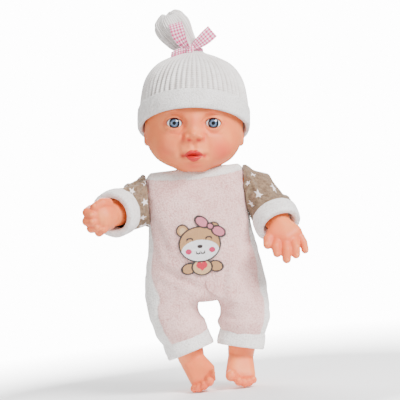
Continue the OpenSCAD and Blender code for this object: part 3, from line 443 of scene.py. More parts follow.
# The white turns darker and pinker away from the iris: painted shade in the eye holes' corners, where the lids
# close over the ball.
white = acrylic.between(acrylic.ramp(away, 5.2, 8.0), ink(238, 236, 234), ink(214, 176, 166))
acrylic.feed(Base_Color=acrylic.between(acrylic.ramp(away, IRIS_R - 0.12, IRIS_R + 0.12), iris, white),
             Roughness=acrylic.ramp(away, 3.0, 8.0, 0.08, 0.2),
             Coat_Weight=acrylic.ramp(away, 6.0, 8.4, 0.32, 0.4))
for name, side in (("left_eye", 1), ("right_eye", -1)):
    ball = bmesh.new()
    bmesh.ops.create_uvsphere(ball, u_segments=64, v_segments=48, radius=EYE_R)
    bmesh.ops.rotate(ball, verts=ball.verts, matrix=Matrix.Rotation(math.radians(90), 3, "X"))
    gaze = ball.loops.layers.uv.new("gaze")
    for f in ball.faces:
        for loop in f.loops:
            loop[gaze].uv = (0.5 + loop.vert.co.x / EYE_R / 4, 0.5 + loop.vert.co.z / EYE_R / 4)
    for v in ball.verts:
        bulge = 0.35 * math.exp(-(v.co.x ** 2 + v.co.z ** 2) / 14) if v.co.y < 0 else 0
        v.co = in_head(v.co.x + side * EYE_X, v.co.y - bulge + EYE_Y, v.co.z + EYE_Z)
    bmesh.ops.recalc_face_normals(ball, faces=ball.faces)
    piece(ball, name + "_ball", "head", acrylic, [name])


# ---- hat ------------------------------------------------------------------------------------------
# A white rib-knitted cap with a fleecy turned-up edge. Its top is gathered and tied off into a soft
# stub that leans over, and it stays on the head only by its own stretch.

HAT_FORM = [  # height above the neck seat, middle in y, half width and depth of the inside
    [10, 0, 44.6, 47.6], [30, 0, 44.6, 47.6], [46, 0, 44.6, 47.6], [61, 0.5, 44.6, 47.6], [75, 1, 42.2, 45.2],
    [86, 1, 37.4, 40.4], [95, 1, 29.5, 32.5], [101, 1, 18, 20], [104.5, 1, 8, 8.4], [106.5, 1, 5, 5]]
HAT_SLOPE = math.tan(math.radians(20))       # the edge is higher in front than behind
EDGE_Z = 37.5                # its height at the sides
KNIT = 2.4                   # thickness of the ribbed knit
CUFF_TALL = 17
RIBS = 58
TIE = Vector((0, 1, 106))    # where the crown is gathered
hat_rows = [on_curve(HAT_FORM, i / 12) for i in range(12 * (len(HAT_FORM) - 1) + 1)]


def hat_at(height):
    """Middle in y, half width and half depth of the hat's inside at a height."""
    for low, high in zip(hat_rows, hat_rows[1:]):
        if height <= high[0]:
            break
    k = min(max((height - low[0]) / (high[0] - low[0]), 0), 1)
    return [a + (b - a) * k for a, b in zip(low[1:], high[1:])]


def hat_skin(turn, height, grow):
    """A point of the hat at an angle from its front and a height, that far off the inside."""
    middle, rx, ry = hat_at(height)
    return Vector(((rx + grow) * math.sin(turn), middle - (ry + grow) * math.cos(turn), height))


def hat_edge(turn):
    """Height of the hat's lower edge at an angle from its front."""
    return EDGE_Z + HAT_SLOPE * 46 * math.cos(turn)


def crown_point(u, v):
    """The ribbed crown, inside and out, drawn in to its tie."""
    turn = 2 * math.pi * u
    low = hat_edge(turn) + 3
    if v < 0.3:              # up the inside of the crown, from its closed top to its edge
        k = 1 - v / 0.3
        spot = hat_skin(turn, low + (101 - low) * math.sin(k * math.pi / 2), 0.3)
        return in_head(*(spot.lerp(Vector((0, 1, 101)), smooth(0.9, 1, k)) if k > 0.9 else spot))
    k = (v - 0.3) / 0.7
    height = low + (106.5 - low) * (1 - (1 - k) ** 1.35)
    girth = sum(hat_at(height)[1:]) / 2
    sway = turn + 0.02 * noise.noise(Vector((6 * math.sin(turn), 6 * math.cos(turn), height * 0.06)))
    wave = math.cos(RIBS * sway)
    depth = min(0.95, girth * 0.024)
    spot = hat_skin(turn, height, KNIT + depth * (wave - 0.3 * wave * wave)
                    + 0.5 * noise.noise(Vector((math.sin(turn) * 2.5, math.cos(turn) * 2.5, height * 0.05))))
    return in_head(*spot.lerp(TIE, smooth(0.985, 1, k)))


def knitted(name, ribs):
    """White acrylic yarn: loops in columns along the ribs, with painted shade in the grooves between them."""
    yarn = Finish(name, Roughness=0.92, Sheen_Weight=0.5, Sheen_Roughness=0.6, Specular_IOR_Level=0.25)
    weave = yarn.node("ShaderNodeUVMap", {"uv_map": "UVMap"})
    stitch = yarn.waves(weave, "Y", 14.0, Distortion=1.6, Detail=1.0, Detail_Scale=3.0)
    fibre = yarn.grain(1500, 4, 0.7)
    cloud = yarn.grain(160, 3)
    tone = yarn.ramp(cloud * 0.5 + fibre * 0.5, 0.35, 0.65)
    tone = yarn.between(tone, ink(222, 214, 209), ink(244, 240, 237))
    groove_shade = yarn.ramp(yarn.maths("PINGPONG", yarn.axis(weave, 0) * ribs, 0.5), 0.26, 0.5)
    # Painted shade in the grooves between the ribs.
    tone = yarn.between(groove_shade * 0.75, tone, ink(168, 156, 150))
    bump = yarn.relief(stitch * 0.5 + fibre * 0.7, 0.0006)
    return yarn.feed(Base_Color=tone, Normal=bump)


white_knit = knitted("white_rib_knit", RIBS)
crown = wrapped(RIBS * 6, 110, crown_point)
hat = piece(crown, "knitted_crown", "hat", white_knit, ["hat_crown"])


LOOP = 0.0011                # metres from loop to loop of the terry


def fleece(name, tone_low, tone_high, second=None):
    """Brushed terry: a mat of small loops. A second pair of tones shows where "panel" is painted."""
    pile = Finish(name, Sheen_Weight=0.35, Sheen_Roughness=0.5, Specular_IOR_Level=0.2)
    tufts = pile.node("ShaderNodeTexVoronoi", {"feature": "SMOOTH_F1"},
                      {"Vector": pile.place(), "Scale": 0.85 / LOOP, "Smoothness": 0.6, "Randomness": 1.0})
    fibre = pile.grain(1.9 / LOOP, 4, 0.72)
    cloud = pile.grain(75, 4)
    mix = pile.ramp(tufts * 0.45 + fibre * 0.45 + cloud * 0.35, 0.45, 0.85)
    tone = pile.between(mix, tone_high, tone_low)
    if second:
        tone = pile.between(pile.painted("panel", "R"), tone, pile.between(mix, second[1], second[0]))
    bump = pile.relief(fibre * 0.9 - tufts * 0.8 + cloud * 0.4, LOOP * 0.75, 0.9)
    return pile.feed(Base_Color=tone, Normal=bump, Roughness=0.88 + fibre * 0.1)


white_fleece = fleece("white_fleece", ink(216, 210, 206), ink(244, 241, 238))


def bent(value, power):
    """A sine or cosine raised to a power with its sign kept: under 1 it squares off a round section."""
    return math.copysign(abs(value) ** power, value)


def cuff_point(u, v):
    """The turned-up edge: up its outside, over its soft top and down behind it, then under the knit."""
    turn = 2 * math.pi * u
    low = hat_edge(turn) - 0.4
    a = 2 * math.pi * v
    up, out = math.cos(a), math.sin(a)
    height = low + CUFF_TALL / 2 * (1 - bent(up, 0.42))
    inner = 0.2 if height < low + 4.5 else 2.7
    belly = 4.7 + 0.5 * math.sin(math.pi * (height - low) / CUFF_TALL)
    grow = (inner + belly) / 2 + (belly - inner) / 2 * bent(out, 0.55)
    spot = hat_skin(turn, height, grow)
    lump = noise.noise(Vector(spot) * 0.11) * 0.5 + noise.noise(Vector(spot) * 0.75) * 0.28 * (out > -0.2)
    return in_head(*hat_skin(turn, height, grow + lump))


cuff = wrapped(300, 56, cuff_point)
turn_up = piece(cuff, "turned_up_edge", "hat", white_fleece, ["hat_cuff"])

# The gathered stub above the tie: folds fan out of the knot, and the end is a loose crumpled ruffle
STUB_RIBS = 44
STUB = [[0, 1, 103.6, 4.8], [0, 1, 106.4, 5.2], [-4, 0.6, 110.6, 7.8], [-12, 0, 118.4, 12.4],
        [-18.6, 0, 127, 14.8], [-22.6, 0, 133.6, 13.2], [-24.6, 0, 137, 8.5], [-25, 0, 137.8, 3.5]]


def way_at(path, t, step=0.05):
    """The direction in which a path of [x, y, z, width] runs at t."""
    ahead, behind = on_curve(path, min(t + step, len(path) - 1)), on_curve(path, max(t - step, 0))
    return (Vector(ahead[:3]) - Vector(behind[:3])).normalized()


def stub_point(u, v):
    """A ring of the stub lies across its own middle line."""
    t = v * (len(STUB) - 1)
    x, y, z, r = on_curve(STUB, t)
    along = way_at(STUB, t)
    side = Vector((0, 1, 0)).cross(along).normalized()
    depth = along.cross(side)
    a = 2 * math.pi * u
    fan = smooth(0.02, 0.3, v)
    fold = 0.13 * math.cos(8 * a + 1.5 * math.sin(2 * a) + 2 * v) * (1 - 0.55 * smooth(0.3, 0.75, v)) * fan
    ruffle = 0.14 * math.cos(5 * a + 0.7) * smooth(0.6, 0.9, v)
    rib = 0.026 * math.cos(STUB_RIBS * a) * fan
    lump = 0.12 * noise.noise(Vector((math.cos(a) * 1.4, math.sin(a) * 1.4, 3 * v)))
    r *= (1 + fold + ruffle + rib + lump) if 0 < v < 1 else 0
    lift = 1.8 * math.cos(3 * a + 0.5) * smooth(0.72, 0.95, v) * (v < 1)
    ring = side * r * math.cos(a) + depth * r * 0.86 * math.sin(a)
    return in_head(*(Vector((x, y, z)) + ring + along * lift))


stub = wrapped(276, 90, stub_point)
stub_knit = knitted("stub_rib_knit", STUB_RIBS)
tassel = piece(stub, "gathered_stub", "hat", stub_knit, ["hat_tassel"])


# ---- ribbon ---------------------------------------------------------------------------------------
# Pink gingham ribbon with a shiny woven edge, tied round the stub: a loop on one side, a cut tail on
# the other, a short tail below and the knot between them.

RIBBON_W = 12.0
gingham = Finish("gingham_ribbon", Roughness=0.5, Sheen_Weight=0.3, Specular_IOR_Level=0.4)
lie = gingham.node("ShaderNodeUVMap", {"uv_map": "UVMap"})
CHECK = 2.6                  # millimetres from one check to the next
bars = [gingham.ramp(gingham.maths("PINGPONG", gingham.axis(lie, way), CHECK / 2), CHECK * 0.21, CHECK * 0.29)
        for way in (0, 1)]   # one set across the ribbon, one along it
check = (bars[0] + bars[1]) * 0.5
threads = gingham.waves(lie, "X", 1.6)
pinks = gingham.node("ShaderNodeValToRGB", {"stops": [(0.0, ink(252, 240, 244)), (0.5, ink(238, 138, 176)),
                                                      (1.0, ink(210, 44, 108))]}, {0: check})
gingham.feed(Base_Color=pinks, Normal=gingham.relief(threads, 0.0002, 0.5))


def strip(name, route, roll, flat_length, wide=RIBBON_W, curl=0.0):
    """A length of ribbon along a route of [x, y, z, width share]; roll is the way its width lies."""
    tape = bmesh.new()
    uv = tape.loops.layers.uv.new("UVMap")
    bmesh.ops.create_grid(tape, x_segments=12, y_segments=44, size=0.5, calc_uvs=True)
    for f in tape.faces:
        for loop in f.loops:
            loop[uv].uv = (loop[uv].uv.x * wide, loop[uv].uv.y * flat_length)
    for v in tape.verts:
        s, t = v.co.x, (v.co.y + 0.5) * (len(route) - 1)
        x, y, z, share = on_curve(route, t)
        along = way_at(route, t)
        lay = Vector(on_curve(roll, t / (len(route) - 1) * (len(roll) - 1)))
        lay = (lay - along * lay.dot(along)).normalized()
        face = along.cross(lay)
        crimp = (1 - share) * 1.6 * math.cos(s * 19) + curl * (s * s - 0.1) * 4
        v.co = in_head(*(Vector((x, y, z)) + lay * s * wide * share + face * crimp))
    made = piece(tape, name, "hat", gingham, ["hat_ribbon"])
    thick = made.modifiers.new("woven", "SOLIDIFY")
    thick.thickness, thick.offset = 0.00035, 0


strip("ribbon_loop", [[-4.5, -9.6, 107, 0.35], [-9.5, -13.6, 112, 0.7], [-13.4, -16.6, 119, 1],
                      [-15.4, -17.4, 125.4, 1], [-16.4, -16.6, 129, 1], [-15.6, -15.4, 126, 1],
                      [-13, -14.4, 118.4, 0.9], [-5.5, -9.6, 107.6, 0.35]],
      [[0.8, -0.2, 0.5], [0.88, -0.15, 0.4], [0.92, 0, 0.25], [0.8, 0, 0.5]], 46)
strip("ribbon_tail_right", [[-3.5, -8.2, 107.4, 0.3], [0.5, -9.8, 109.6, 0.55], [5.5, -11, 113.4, 0.86],
                            [10.5, -11.2, 117.6, 1], [16.2, -9.6, 123, 1]],
      [[-0.6, -0.3, 0.8], [-0.6, -0.3, 0.75], [-0.68, -0.2, 0.72]], 26, curl=0.5)
strip("ribbon_tail_left", [[-4.5, -8.4, 106.8, 0.3], [-9, -10.6, 105.4, 0.6], [-14, -13, 103.6, 0.85],
                           [-20, -16.4, 101.2, 0.8]],
      [[0.1, -0.4, 1], [0.1, -0.5, 0.9], [0.2, -0.7, 0.7]], 18, wide=10.5)

knot = bmesh.new()
bmesh.ops.create_uvsphere(knot, u_segments=40, v_segments=28, radius=1)
uv = knot.loops.layers.uv.new("UVMap")
for f in knot.faces:
    for loop in f.loops:
        loop[uv].uv = (loop.vert.co.x * 4, loop.vert.co.z * 5)
for v in knot.verts:
    x, y, z = v.co
    pinch = 1 - 0.22 * math.cos(9 * math.atan2(z, y) + 3 * x) * (1 - x * x)
    v.co = in_head(-3.4 + x * 3.9, -9.3 + y * 2.5 * pinch, 107 + z * 3.7 * pinch + x * 0.6)
piece(knot, "ribbon_knot", "hat", gingham, ["hat_ribbon"])


def tie_point(u, v):
    """The ribbon's turn round the base of the stub."""
    a, s = 2 * math.pi * u, 2 * math.pi * v
    r = 7.0 + 0.9 * math.cos(s) + 0.3 * math.cos(13 * a)
    return in_head(r * math.cos(a), 1 + r * math.sin(a), 106.2 + 2.9 * math.sin(s))


piece(wrapped(80, 20, tie_point), "ribbon_band", "hat", gingham, ["hat_ribbon"])


# ---- romper ---------------------------------------------------------------------------------------
# A one-piece romper of pale pink terry with a white fleece back that wraps round to the sides. The
# trunk lies on the torso; each leg half runs from the hip down its own leg to the ankle.

CLOTH = 2.0                  # thickness of the terry
TRUNK_FORM = [  # height over the floor, middle in y, half width, half depth, squareness of the section
    [98, -1.2, 52.6, 28.8, 2], [104, -1.2, 51.8, 29.6, 2], [116, -1.5, 49.4, 31, 2],
    [126, -1.8, 47.6, 31.8, 2], [136, -2, 45.8, 32, 2.15], [146, -2, 44.6, 31.4, 2.5],
    [156, -1.4, 44.2, 29.6, 3.1], [168, -0.4, 44.4, 26.8, 3.6], [178, 0, 44.4, 24.4, 3.6],
    [186, 0, 43.6, 22, 3.4], [191, 0, 41.8, 19, 3], [193.8, 0, 39, 15.6, 2.6],
    [194, 0, 35.5, 13.4, 2.3], [192.8, 0, 30.5, 13.2, 2.1], [191.2, 0, 25, 14.2, 2],
    [190.2, 0, 20.8, 15.6, 2]]
WAIST = 126                  # where the trunk ends and the leg halves begin
BUTTON_Z = 127.5             # height of the belly button, and of the bear's middle
climb = [on_curve(TRUNK_FORM, i / 40) for i in range(40 * 11)]       # the form up to the shoulders
heights = [row[0] for row in climb]
waist_t = bisect.bisect(heights, WAIST) / 40


def form_at(height):
    """The smooth form's row at a height."""
    return climb[min(bisect.bisect(heights, height), len(climb) - 1)]


def panel_edge(height, leg_edge):
    """Angle from the front, in degrees, at which the white back panel begins."""
    return 66 + (leg_edge - 66) * smooth(110, 70, height)


def terry_lumps(x, y, z, turn, edge):
    """How the soft cloth stands off its smooth form: broad waves, small lumps and the side seam."""
    at = Vector((x, y, z))
    seam = -0.55 * math.exp(-((abs(turn) - edge) / 1.6) ** 2)
    return 1.2 * noise.noise(at * 0.045) + 0.5 * noise.noise(at * 0.16) + 0.16 * noise.noise(at * 0.75) + seam


FOLDS = [  # two ends of each crease in front (x, z), its half width and depth
    ((-36, 109), (-3, 88.5), 3.6, 1.9), ((20.4, 110), (12.4, 79), 2.6, 2.1), ((-14, 84), (-34, 72), 3.4, 1.1),
    ((38, 152), (27, 122), 3.4, 1.2), ((-38, 150), (-30, 124), 3.2, 0.9), ((30, 96), (44, 78), 4, 1.0),
    ((-24, 60), (-42, 52), 3, 0.8), ((14, 62), (30, 57), 3, 0.7), ((8, 178), (28, 168), 5, 0.5)]


def hang_folds(x, z, turn):
    """The creases in front, where the cloth hangs from the chest and is pulled from the crotch."""
    depth = 0.0
    for (x1, z1), (x2, z2), wide, deep in FOLDS:
        dx, dz = x2 - x1, z2 - z1
        length = math.hypot(dx, dz)
        along = ((x - x1) * dx + (z - z1) * dz) / length
        off = ((x - x1) * dz - (z - z1) * dx) / length
        ends = smooth(-0.25 * length, 0.3 * length, along) * smooth(1.25 * length, 0.7 * length, along)
        ridge = 0.55 * math.exp(-((abs(off) - 1.7 * wide) / wide) ** 2)
        depth += deep * ends * (ridge - math.exp(-(off / wide) ** 2))
    return depth * smooth(88, 60, abs(turn))


def flat_spots(x, y, z):
    """Little of the cloth's lumps is left under the stitched bear in front and the tape behind."""
    under_tape = mound(x, z, (0, 147), 11, 30) if y > 0 else 0
    return 1 - 0.8 * (mound(x, z, (0, BUTTON_Z), 22, 25) if y < 0 else under_tape)


def squared(a, half_width, half_depth, power):
    """A point of a rounded-off rectangle, at an angle from its front."""
    return half_width * bent(math.sin(a), 2 / power), -half_depth * bent(math.cos(a), 2 / power)


def trunk_point(u, v):
    """Down the inside of the cloth, round its hem and up the outside to the neck."""
    a = 2 * math.pi * u
    turn = math.degrees(a) if a < math.pi else math.degrees(a) - 360
    outside = v > 0.42
    k = (v - 0.42) / 0.58 if outside else 1 - v / 0.42
    z, middle, rx, ry, square = on_curve(TRUNK_FORM, waist_t + (len(TRUNK_FORM) - 1 - waist_t) * k)
    grow = 0 if outside else -CLOTH * smooth(0, 0.02, v)
    x, y = squared(a, rx + grow, ry + grow, square)
    y += middle
    if outside:
        lift = terry_lumps(x, y, z, turn, panel_edge(z, 66)) + hang_folds(x, z, turn)
        lift *= smooth(1, 0.97, k) * flat_spots(x, y, z)
        x += lift * math.sin(a)
        y -= lift * math.cos(a)
        if z > 188:
            z += 0.4 * lift
    if z > 150:
        x = max(-43.0, min(43.0, x))
    return Vector((x, y, z))


def facing_edge(x):
    """Height at which the white facing round the neck begins."""
    return 184.6 + 0.0022 * x ** 2


pink_terry = fleece("pink_terry", ink(208, 152, 146), ink(238, 200, 194),
                    second=(ink(212, 207, 202), ink(242, 240, 236)))
trunk = wrapped(230, 150, trunk_point)
panel = trunk.verts.layers.float_color.new("panel")      # 1 where the cloth is the white fleece
for v in trunk.verts:
    z, middle, rx, ry, square = form_at(v.co.z)
    turn = math.degrees(abs(math.atan2(v.co.x / rx, (middle - v.co.y) / ry)))
    edge = panel_edge(v.co.z, 66)
    white = 1 if v.co.z > facing_edge(v.co.x) else smooth(edge - 0.8, edge + 0.8, turn)
    v[panel] = (white, 0, 0, 1)
romper = piece(trunk, "romper_trunk", "torso", pink_terry, ["romper_body"], sharp=55)

# Each leg half: its side, the angle of its back panel and the slant of its hem in degrees, and its
# sections as height, middle in x, half width outwards and inwards, middle in y, half depth
LEG_HALVES = {
    "left": (1, 52, 13, [[104, 0, 51.8, 0, -1.2, 29.6], [98, 0, 52.6, 0, -1.2, 29],
                         [92, 0.8, 52.4, 0.6, -1.4, 28.4],
                         [86.5, 4, 49.8, 3.4, -1.8, 27.6], [81.5, 14, 39.8, 11, -2.4, 26.6],
                         [76, 26, 28, 17, -3.2, 25.6], [68, 31, 22.8, 20.4, -4.4, 24.4],
                         [57, 29.2, 22.4, 21.4, -5.4, 23.2], [50, 27.8, 20.6, 20, -5.4, 21.6],
                         [44, 26.8, 18, 17.6, -4.6, 18.6], [36, 25.8, 16.6, 16, -4.2, 17.4]]),
    "right": (-1, 40, 15, [[104, 0, 51.8, 0, -1.2, 29.6], [98, 0, 52.6, 0, -1.2, 29],
                           [92, 0.8, 52.4, 0.6, -1.4, 28.4],
                           [86.5, 4, 49.8, 3.4, -1.8, 27.6], [81.5, 13, 40.8, 10.2, -2.4, 26.6],
                           [76, 24.4, 29.4, 16.4, -3.2, 25.6], [68, 28, 24.6, 20.4, -4.4, 24.4],
                           [57, 25, 23.2, 21.4, -5.4, 23.2], [50, 23, 21.4, 20, -5.4, 21.6],
                           [44, 21.4, 18.6, 17.6, -4.6, 18.6], [36, 19.8, 17, 16.4, -4.2, 17.4]])}
TUCK = 4                     # how far a leg half reaches up inside the trunk


def leg_half_form(rows):
    """The half's sections from just inside the trunk down to the ankle."""
    above = []
    tucked_under = ((WAIST + TUCK, 1.2), (WAIST + 1, 1.1), (WAIST, 0.04), (WAIST - 3, 0), (119, 0), (112, 0))
    for z, under in tucked_under:
        row = form_at(z)
        above.append([z, 0, row[2] - under, 0, row[1], row[3] - under])
    return above + rows


def tilt(height, slant):
    """How much a section of the leg tips outwards as it nears the ankle."""
    return math.tan(math.radians(slant)) * smooth(72, 44, height)


def leg_half_point(side, leg_edge, slant, form):
    """Down the outside of one leg half to its ankle and back up the inside of the cloth."""
    last = len(form) - 1

    def place(u, v):
        outside = v < 0.6
        k = v / 0.6 if outside else 1 - (v - 0.6) / 0.4
        z, mid_x, out_w, in_w, mid_y, deep = on_curve(form, k * last)
        grow = 0 if outside else -CLOTH * smooth(1, 0.97, v)
        a = 2 * math.pi * u              # 0 at the front, a quarter at the outer side
        width = out_w if math.sin(a) > 0 else in_w
        power = 2 + 1.6 * smooth(72, 84, z) * (math.sin(a) < 0)
        x, y = squared(a, max(width + grow, 0) if math.sin(a) < 0 else width + grow, deep + grow, power)
        x, y = x + mid_x, y + mid_y
        if not outside and math.sin(a) < 0 and width < CLOTH:
            x = max(x, 0.3)
        if outside:
            turn = math.degrees(a) if a < math.pi else math.degrees(a) - 360
            edge = panel_edge(z, leg_edge) if turn > 0 else 84
            sx = side * x
            ruck = 0.45 * math.cos((z - 58) * 0.42 + 1.6 * math.cos(a + side))
            ruck *= smooth(72, 62, z) * smooth(44, 50, z)
            lift = terry_lumps(sx, y, z, turn, edge) + hang_folds(sx, z, turn) + ruck
            lift *= flat_spots(sx, y, z) * smooth(42, 48, z) * smooth(WAIST + TUCK, WAIST + 2, z)
            if width > 1:
                x += lift * math.sin(a)
            y -= lift * math.cos(a)
        z -= (x - mid_x) * tilt(z, slant)
        return Vector((side * x, y, z))

    return place


for name, (side, leg_edge, slant, rows) in LEG_HALVES.items():
    form = leg_half_form(rows)
    half = wrapped(150, 150, leg_half_point(side, leg_edge, slant, form))
    layer = half.verts.layers.float_color.new("panel")
    fine = [on_curve(form, i / 8) for i in range(8 * (len(form) - 1) + 1)]
    for v in half.verts:
        row = min(fine, key=lambda r: abs(r[0] - v.co.z - (v.co.x * side - r[1]) * tilt(v.co.z, slant)))
        x = v.co.x * side - row[1]
        turn = math.degrees(math.atan2(x / max(row[2] if x > 0 else row[3], 1), (row[4] - v.co.y) / row[5]))
        if row[3] < 2:
            turn = math.degrees(abs(math.atan2(v.co.x / (row[1] + row[2]), (row[4] - v.co.y) / row[5])))
        edge = panel_edge(v.co.z, leg_edge) if turn > 0 else 84
        v[layer] = (smooth(edge - 1.5, edge + 1.5, abs(turn)), 0, 0, 1)
    made = piece(half, f"romper_{name}_leg", None, pink_terry, sharp=55)
    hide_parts(f"{name}_trouser")
    hip = Vector((side * 34, 0, 0)) * 0.001 + MIDDLE
    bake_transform(made)


# Fleece gusset round the seat, under the leg halves: it shows only where a leg swings up
def gusset_point(u, v):
    a = 2 * math.pi * u
    z, rx, ry = on_curve([[76.8, 0, 0], [77, 9, 12], [79, 18, 21], [84, 23, 25.4], [92, 23.8, 27.2],
                          [104, 23.9, 28.2], [118, 23.9, 28.6], [130, 23.9, 29.4], [131, 12, 14],
                          [131.2, 0, 0]], v * 9)
    return Vector((rx * math.sin(a), -1.2 - ry * math.cos(a), z))


gusset = wrapped(96, 60, gusset_point)
panel = gusset.verts.layers.float_color.new("panel")
for v in gusset.verts:
    v[panel] = (smooth(0, 8, v.co.y), 0, 0, 1)
piece(gusset, "romper_gusset", "torso", pink_terry)


# ---- cuffs and collar -----------------------------------------------------------------------------
# Turned-back bands of white fleece: one round each ankle and wrist, each a closed ring of doubled
# cloth, and a narrow one sewn round the neck.

def band(name, body, node, middle, along, radii, tall, thick, flare=0.0, wide_way=(1, 0, 0)):
    """A ring of doubled cloth round an axis; radii are its half width and half depth outside."""
    axis = Vector(along).normalized()
    across = (Vector(wide_way) - axis * Vector(wide_way).dot(axis)).normalized()
    deep = axis.cross(across)

    def place(u, v):
        a, s = 2 * math.pi * u, 2 * math.pi * v
        up, out = bent(math.sin(s), 0.55), bent(math.cos(s), 0.6)
        spot = across * radii[0] * math.cos(a) + deep * radii[1] * math.sin(a)
        outward = spot.normalized()
        rise = up * tall / 2
        spot += outward * ((out - 1) * thick / 2 + flare * rise) + axis * rise
        spot += Vector(middle)
        lump = 0.55 * noise.noise(spot * 0.11) + 0.3 * noise.noise(spot * 0.6)
        return spot + outward * lump * (1 if out > -0.5 else 0.3)

    made = piece(wrapped(150, 40, place), name, body, white_fleece, [node])


band("left_ankle_band", "left_leg", "left_ankle_cuff",
     (26.4, -4.6, 41.6), (-0.24, -0.06, -1), (20.8, 20.8), 15, flare=0.08, thick=4.2)
band("right_ankle_band", "right_leg", "right_ankle_cuff",
     (-21, -4.6, 42), (0.3, -0.06, -1), (21.6, 20.8), 16, flare=0.06, thick=4.2)
band("neck_band", "torso", "romper_collar",
     (0, 0, 188.4), (0, 0, 1), (20.6, 16.8), 3.6, thick=2.2)


# ---- sleeves --------------------------------------------------------------------------------------
# Thin greyish-brown jersey printed with white stars, sewn to the armhole. Each turns with its arm and
# is rucked up between the armhole and its cuff.

STAR_GRID = 13.5             # millimetres from star to star
jersey = Finish("star_jersey", Sheen_Weight=0.25, Sheen_Roughness=0.4, Specular_IOR_Level=0.25)
lay = jersey.node("ShaderNodeUVMap", {"uv_map": "UVMap"})
grid = jersey.vector_maths("SCALE", {0: lay, 3: 1 / STAR_GRID})
cell = jersey.vector_maths("FLOOR", {0: grid})
chance = jersey.node("ShaderNodeTexWhiteNoise", {"noise_dimensions": "2D"}, {"Vector": cell}, out=1)
jitter = jersey.vector_maths("MULTIPLY_ADD", {0: chance, 1: (0.4, 0.4, 0), 2: (-0.7, -0.7, 0)})
inside = jersey.vector_maths("FRACTION", {0: grid})
spot = jersey.vector_maths("ADD", {0: inside, 1: jitter})
size = jersey.axis(chance, 2) * 0.12 + 0.18
reach = jersey.vector_maths("LENGTH", {0: spot}, out=1)
heading = jersey.maths("ARCTAN2", jersey.axis(spot, 1), jersey.axis(spot, 0)) + size * 40
wedge = jersey.maths("PINGPONG", heading, math.pi / 5)
tip_way, side_way = reach * jersey.maths("COSINE", wedge), reach * jersey.maths("SINE", wedge)
NOTCH = 0.42                 # how deep the notches between a star's points are
notch_x, notch_y = NOTCH * math.cos(math.pi / 5), NOTCH * math.sin(math.pi / 5)
in_star = (size - tip_way) * notch_y - side_way * (1 - notch_x)
star = jersey.ramp(in_star, -0.006, 0.006)
knit_line = jersey.waves(lay, "X", 0.62, Distortion=0.6)
mottle = jersey.grain(420, 4, 0.7)
cloth_tone = jersey.between(jersey.ramp(mottle, 0.3, 0.7), ink(108, 86, 66), ink(146, 122, 98))
jersey.feed(Base_Color=jersey.between(star, cloth_tone, ink(244, 232, 230)), Roughness=0.82 + mottle * 0.1,
            Normal=jersey.relief(knit_line + mottle * 0.6, 0.00025, 0.7))

SHOULDER_Z = 174
ARMS = {  # the arm's middle line from its socket, x out from the middle, with its radius
    "left": (1, (0, 1, 0), [[34.3, 0, 174, 14.4], [39.3, 0, 174, 15],
                            [45.3, -0.5, 173.4, 14.7], [54.3, -4, 166.5, 14],
                            [61.8, -11, 155, 13], [66.3, -19, 144, 11.6], [69.8, -27, 135.5, 9.6]]),
    "right": (-1, (0, 0, -1), [[34.3, 0, 174, 14.4], [38.3, 0, 174, 15],
                               [44.3, -0.8, 173.4, 14.7], [54.3, -7, 169.5, 14],
                               [63.3, -17, 165.5, 13], [70.3, -28, 162.5, 11.6], [75.8, -38, 161, 9.6]])}


def ring_frame(path, t, ref):
    """Where a tube's middle line is at t, its direction, and the two directions across it."""
    along = way_at(path, t, 0.04)
    n1 = (Vector(ref) - along * along.dot(Vector(ref))).normalized()
    return on_curve(path, t), along, n1, along.cross(n1)


ROUNDS, SPARE, CAP = 16, 0.09, 0.0034      # frames of settling, spare cloth, how far it may move
STIFF = 8.0


def crumple(made, pinned):
    """Lets a sheet of cloth that is cut a little too large settle between its sewn edges."""
    rest = [v.co.copy() for v in made.data.vertices]
    held = made.vertex_groups.new(name="sewn")
    for i, v in enumerate(made.data.vertices):
        held.add([i], pinned(v.co), "REPLACE")
    drape = made.modifiers.new("drape", "CLOTH")
    drape.settings.quality = 5
    drape.settings.mass = 0.15
    drape.settings.tension_stiffness = drape.settings.compression_stiffness = STIFF
    drape.settings.shear_stiffness = STIFF / 2
    drape.settings.bending_stiffness = 0.08
    drape.settings.shrink_min = -SPARE
    drape.settings.vertex_group_mass = "sewn"
    drape.settings.use_pressure = True
    drape.settings.uniform_pressure_force = 0.4
    drape.settings.effector_weights.gravity = 0.15
    drape.collision_settings.use_collision = False
    drape.collision_settings.use_self_collision = False
    drape.point_cache.frame_start, drape.point_cache.frame_end = 1, ROUNDS
    for frame_number in range(1, ROUNDS + 1):
        bpy.context.scene.frame_set(frame_number)
    settled = made.evaluated_get(bpy.context.evaluated_depsgraph_get()).data
    moved = [v.co.copy() for v in settled.vertices]
    made.modifiers.remove(drape)
    made.vertex_groups.clear()
    for v, before, after in zip(made.data.vertices, rest, moved):
        step = after - before
        v.co = before + step * min(1, CAP / max(step.length, 1e-9))
    bpy.context.scene.frame_set(1)


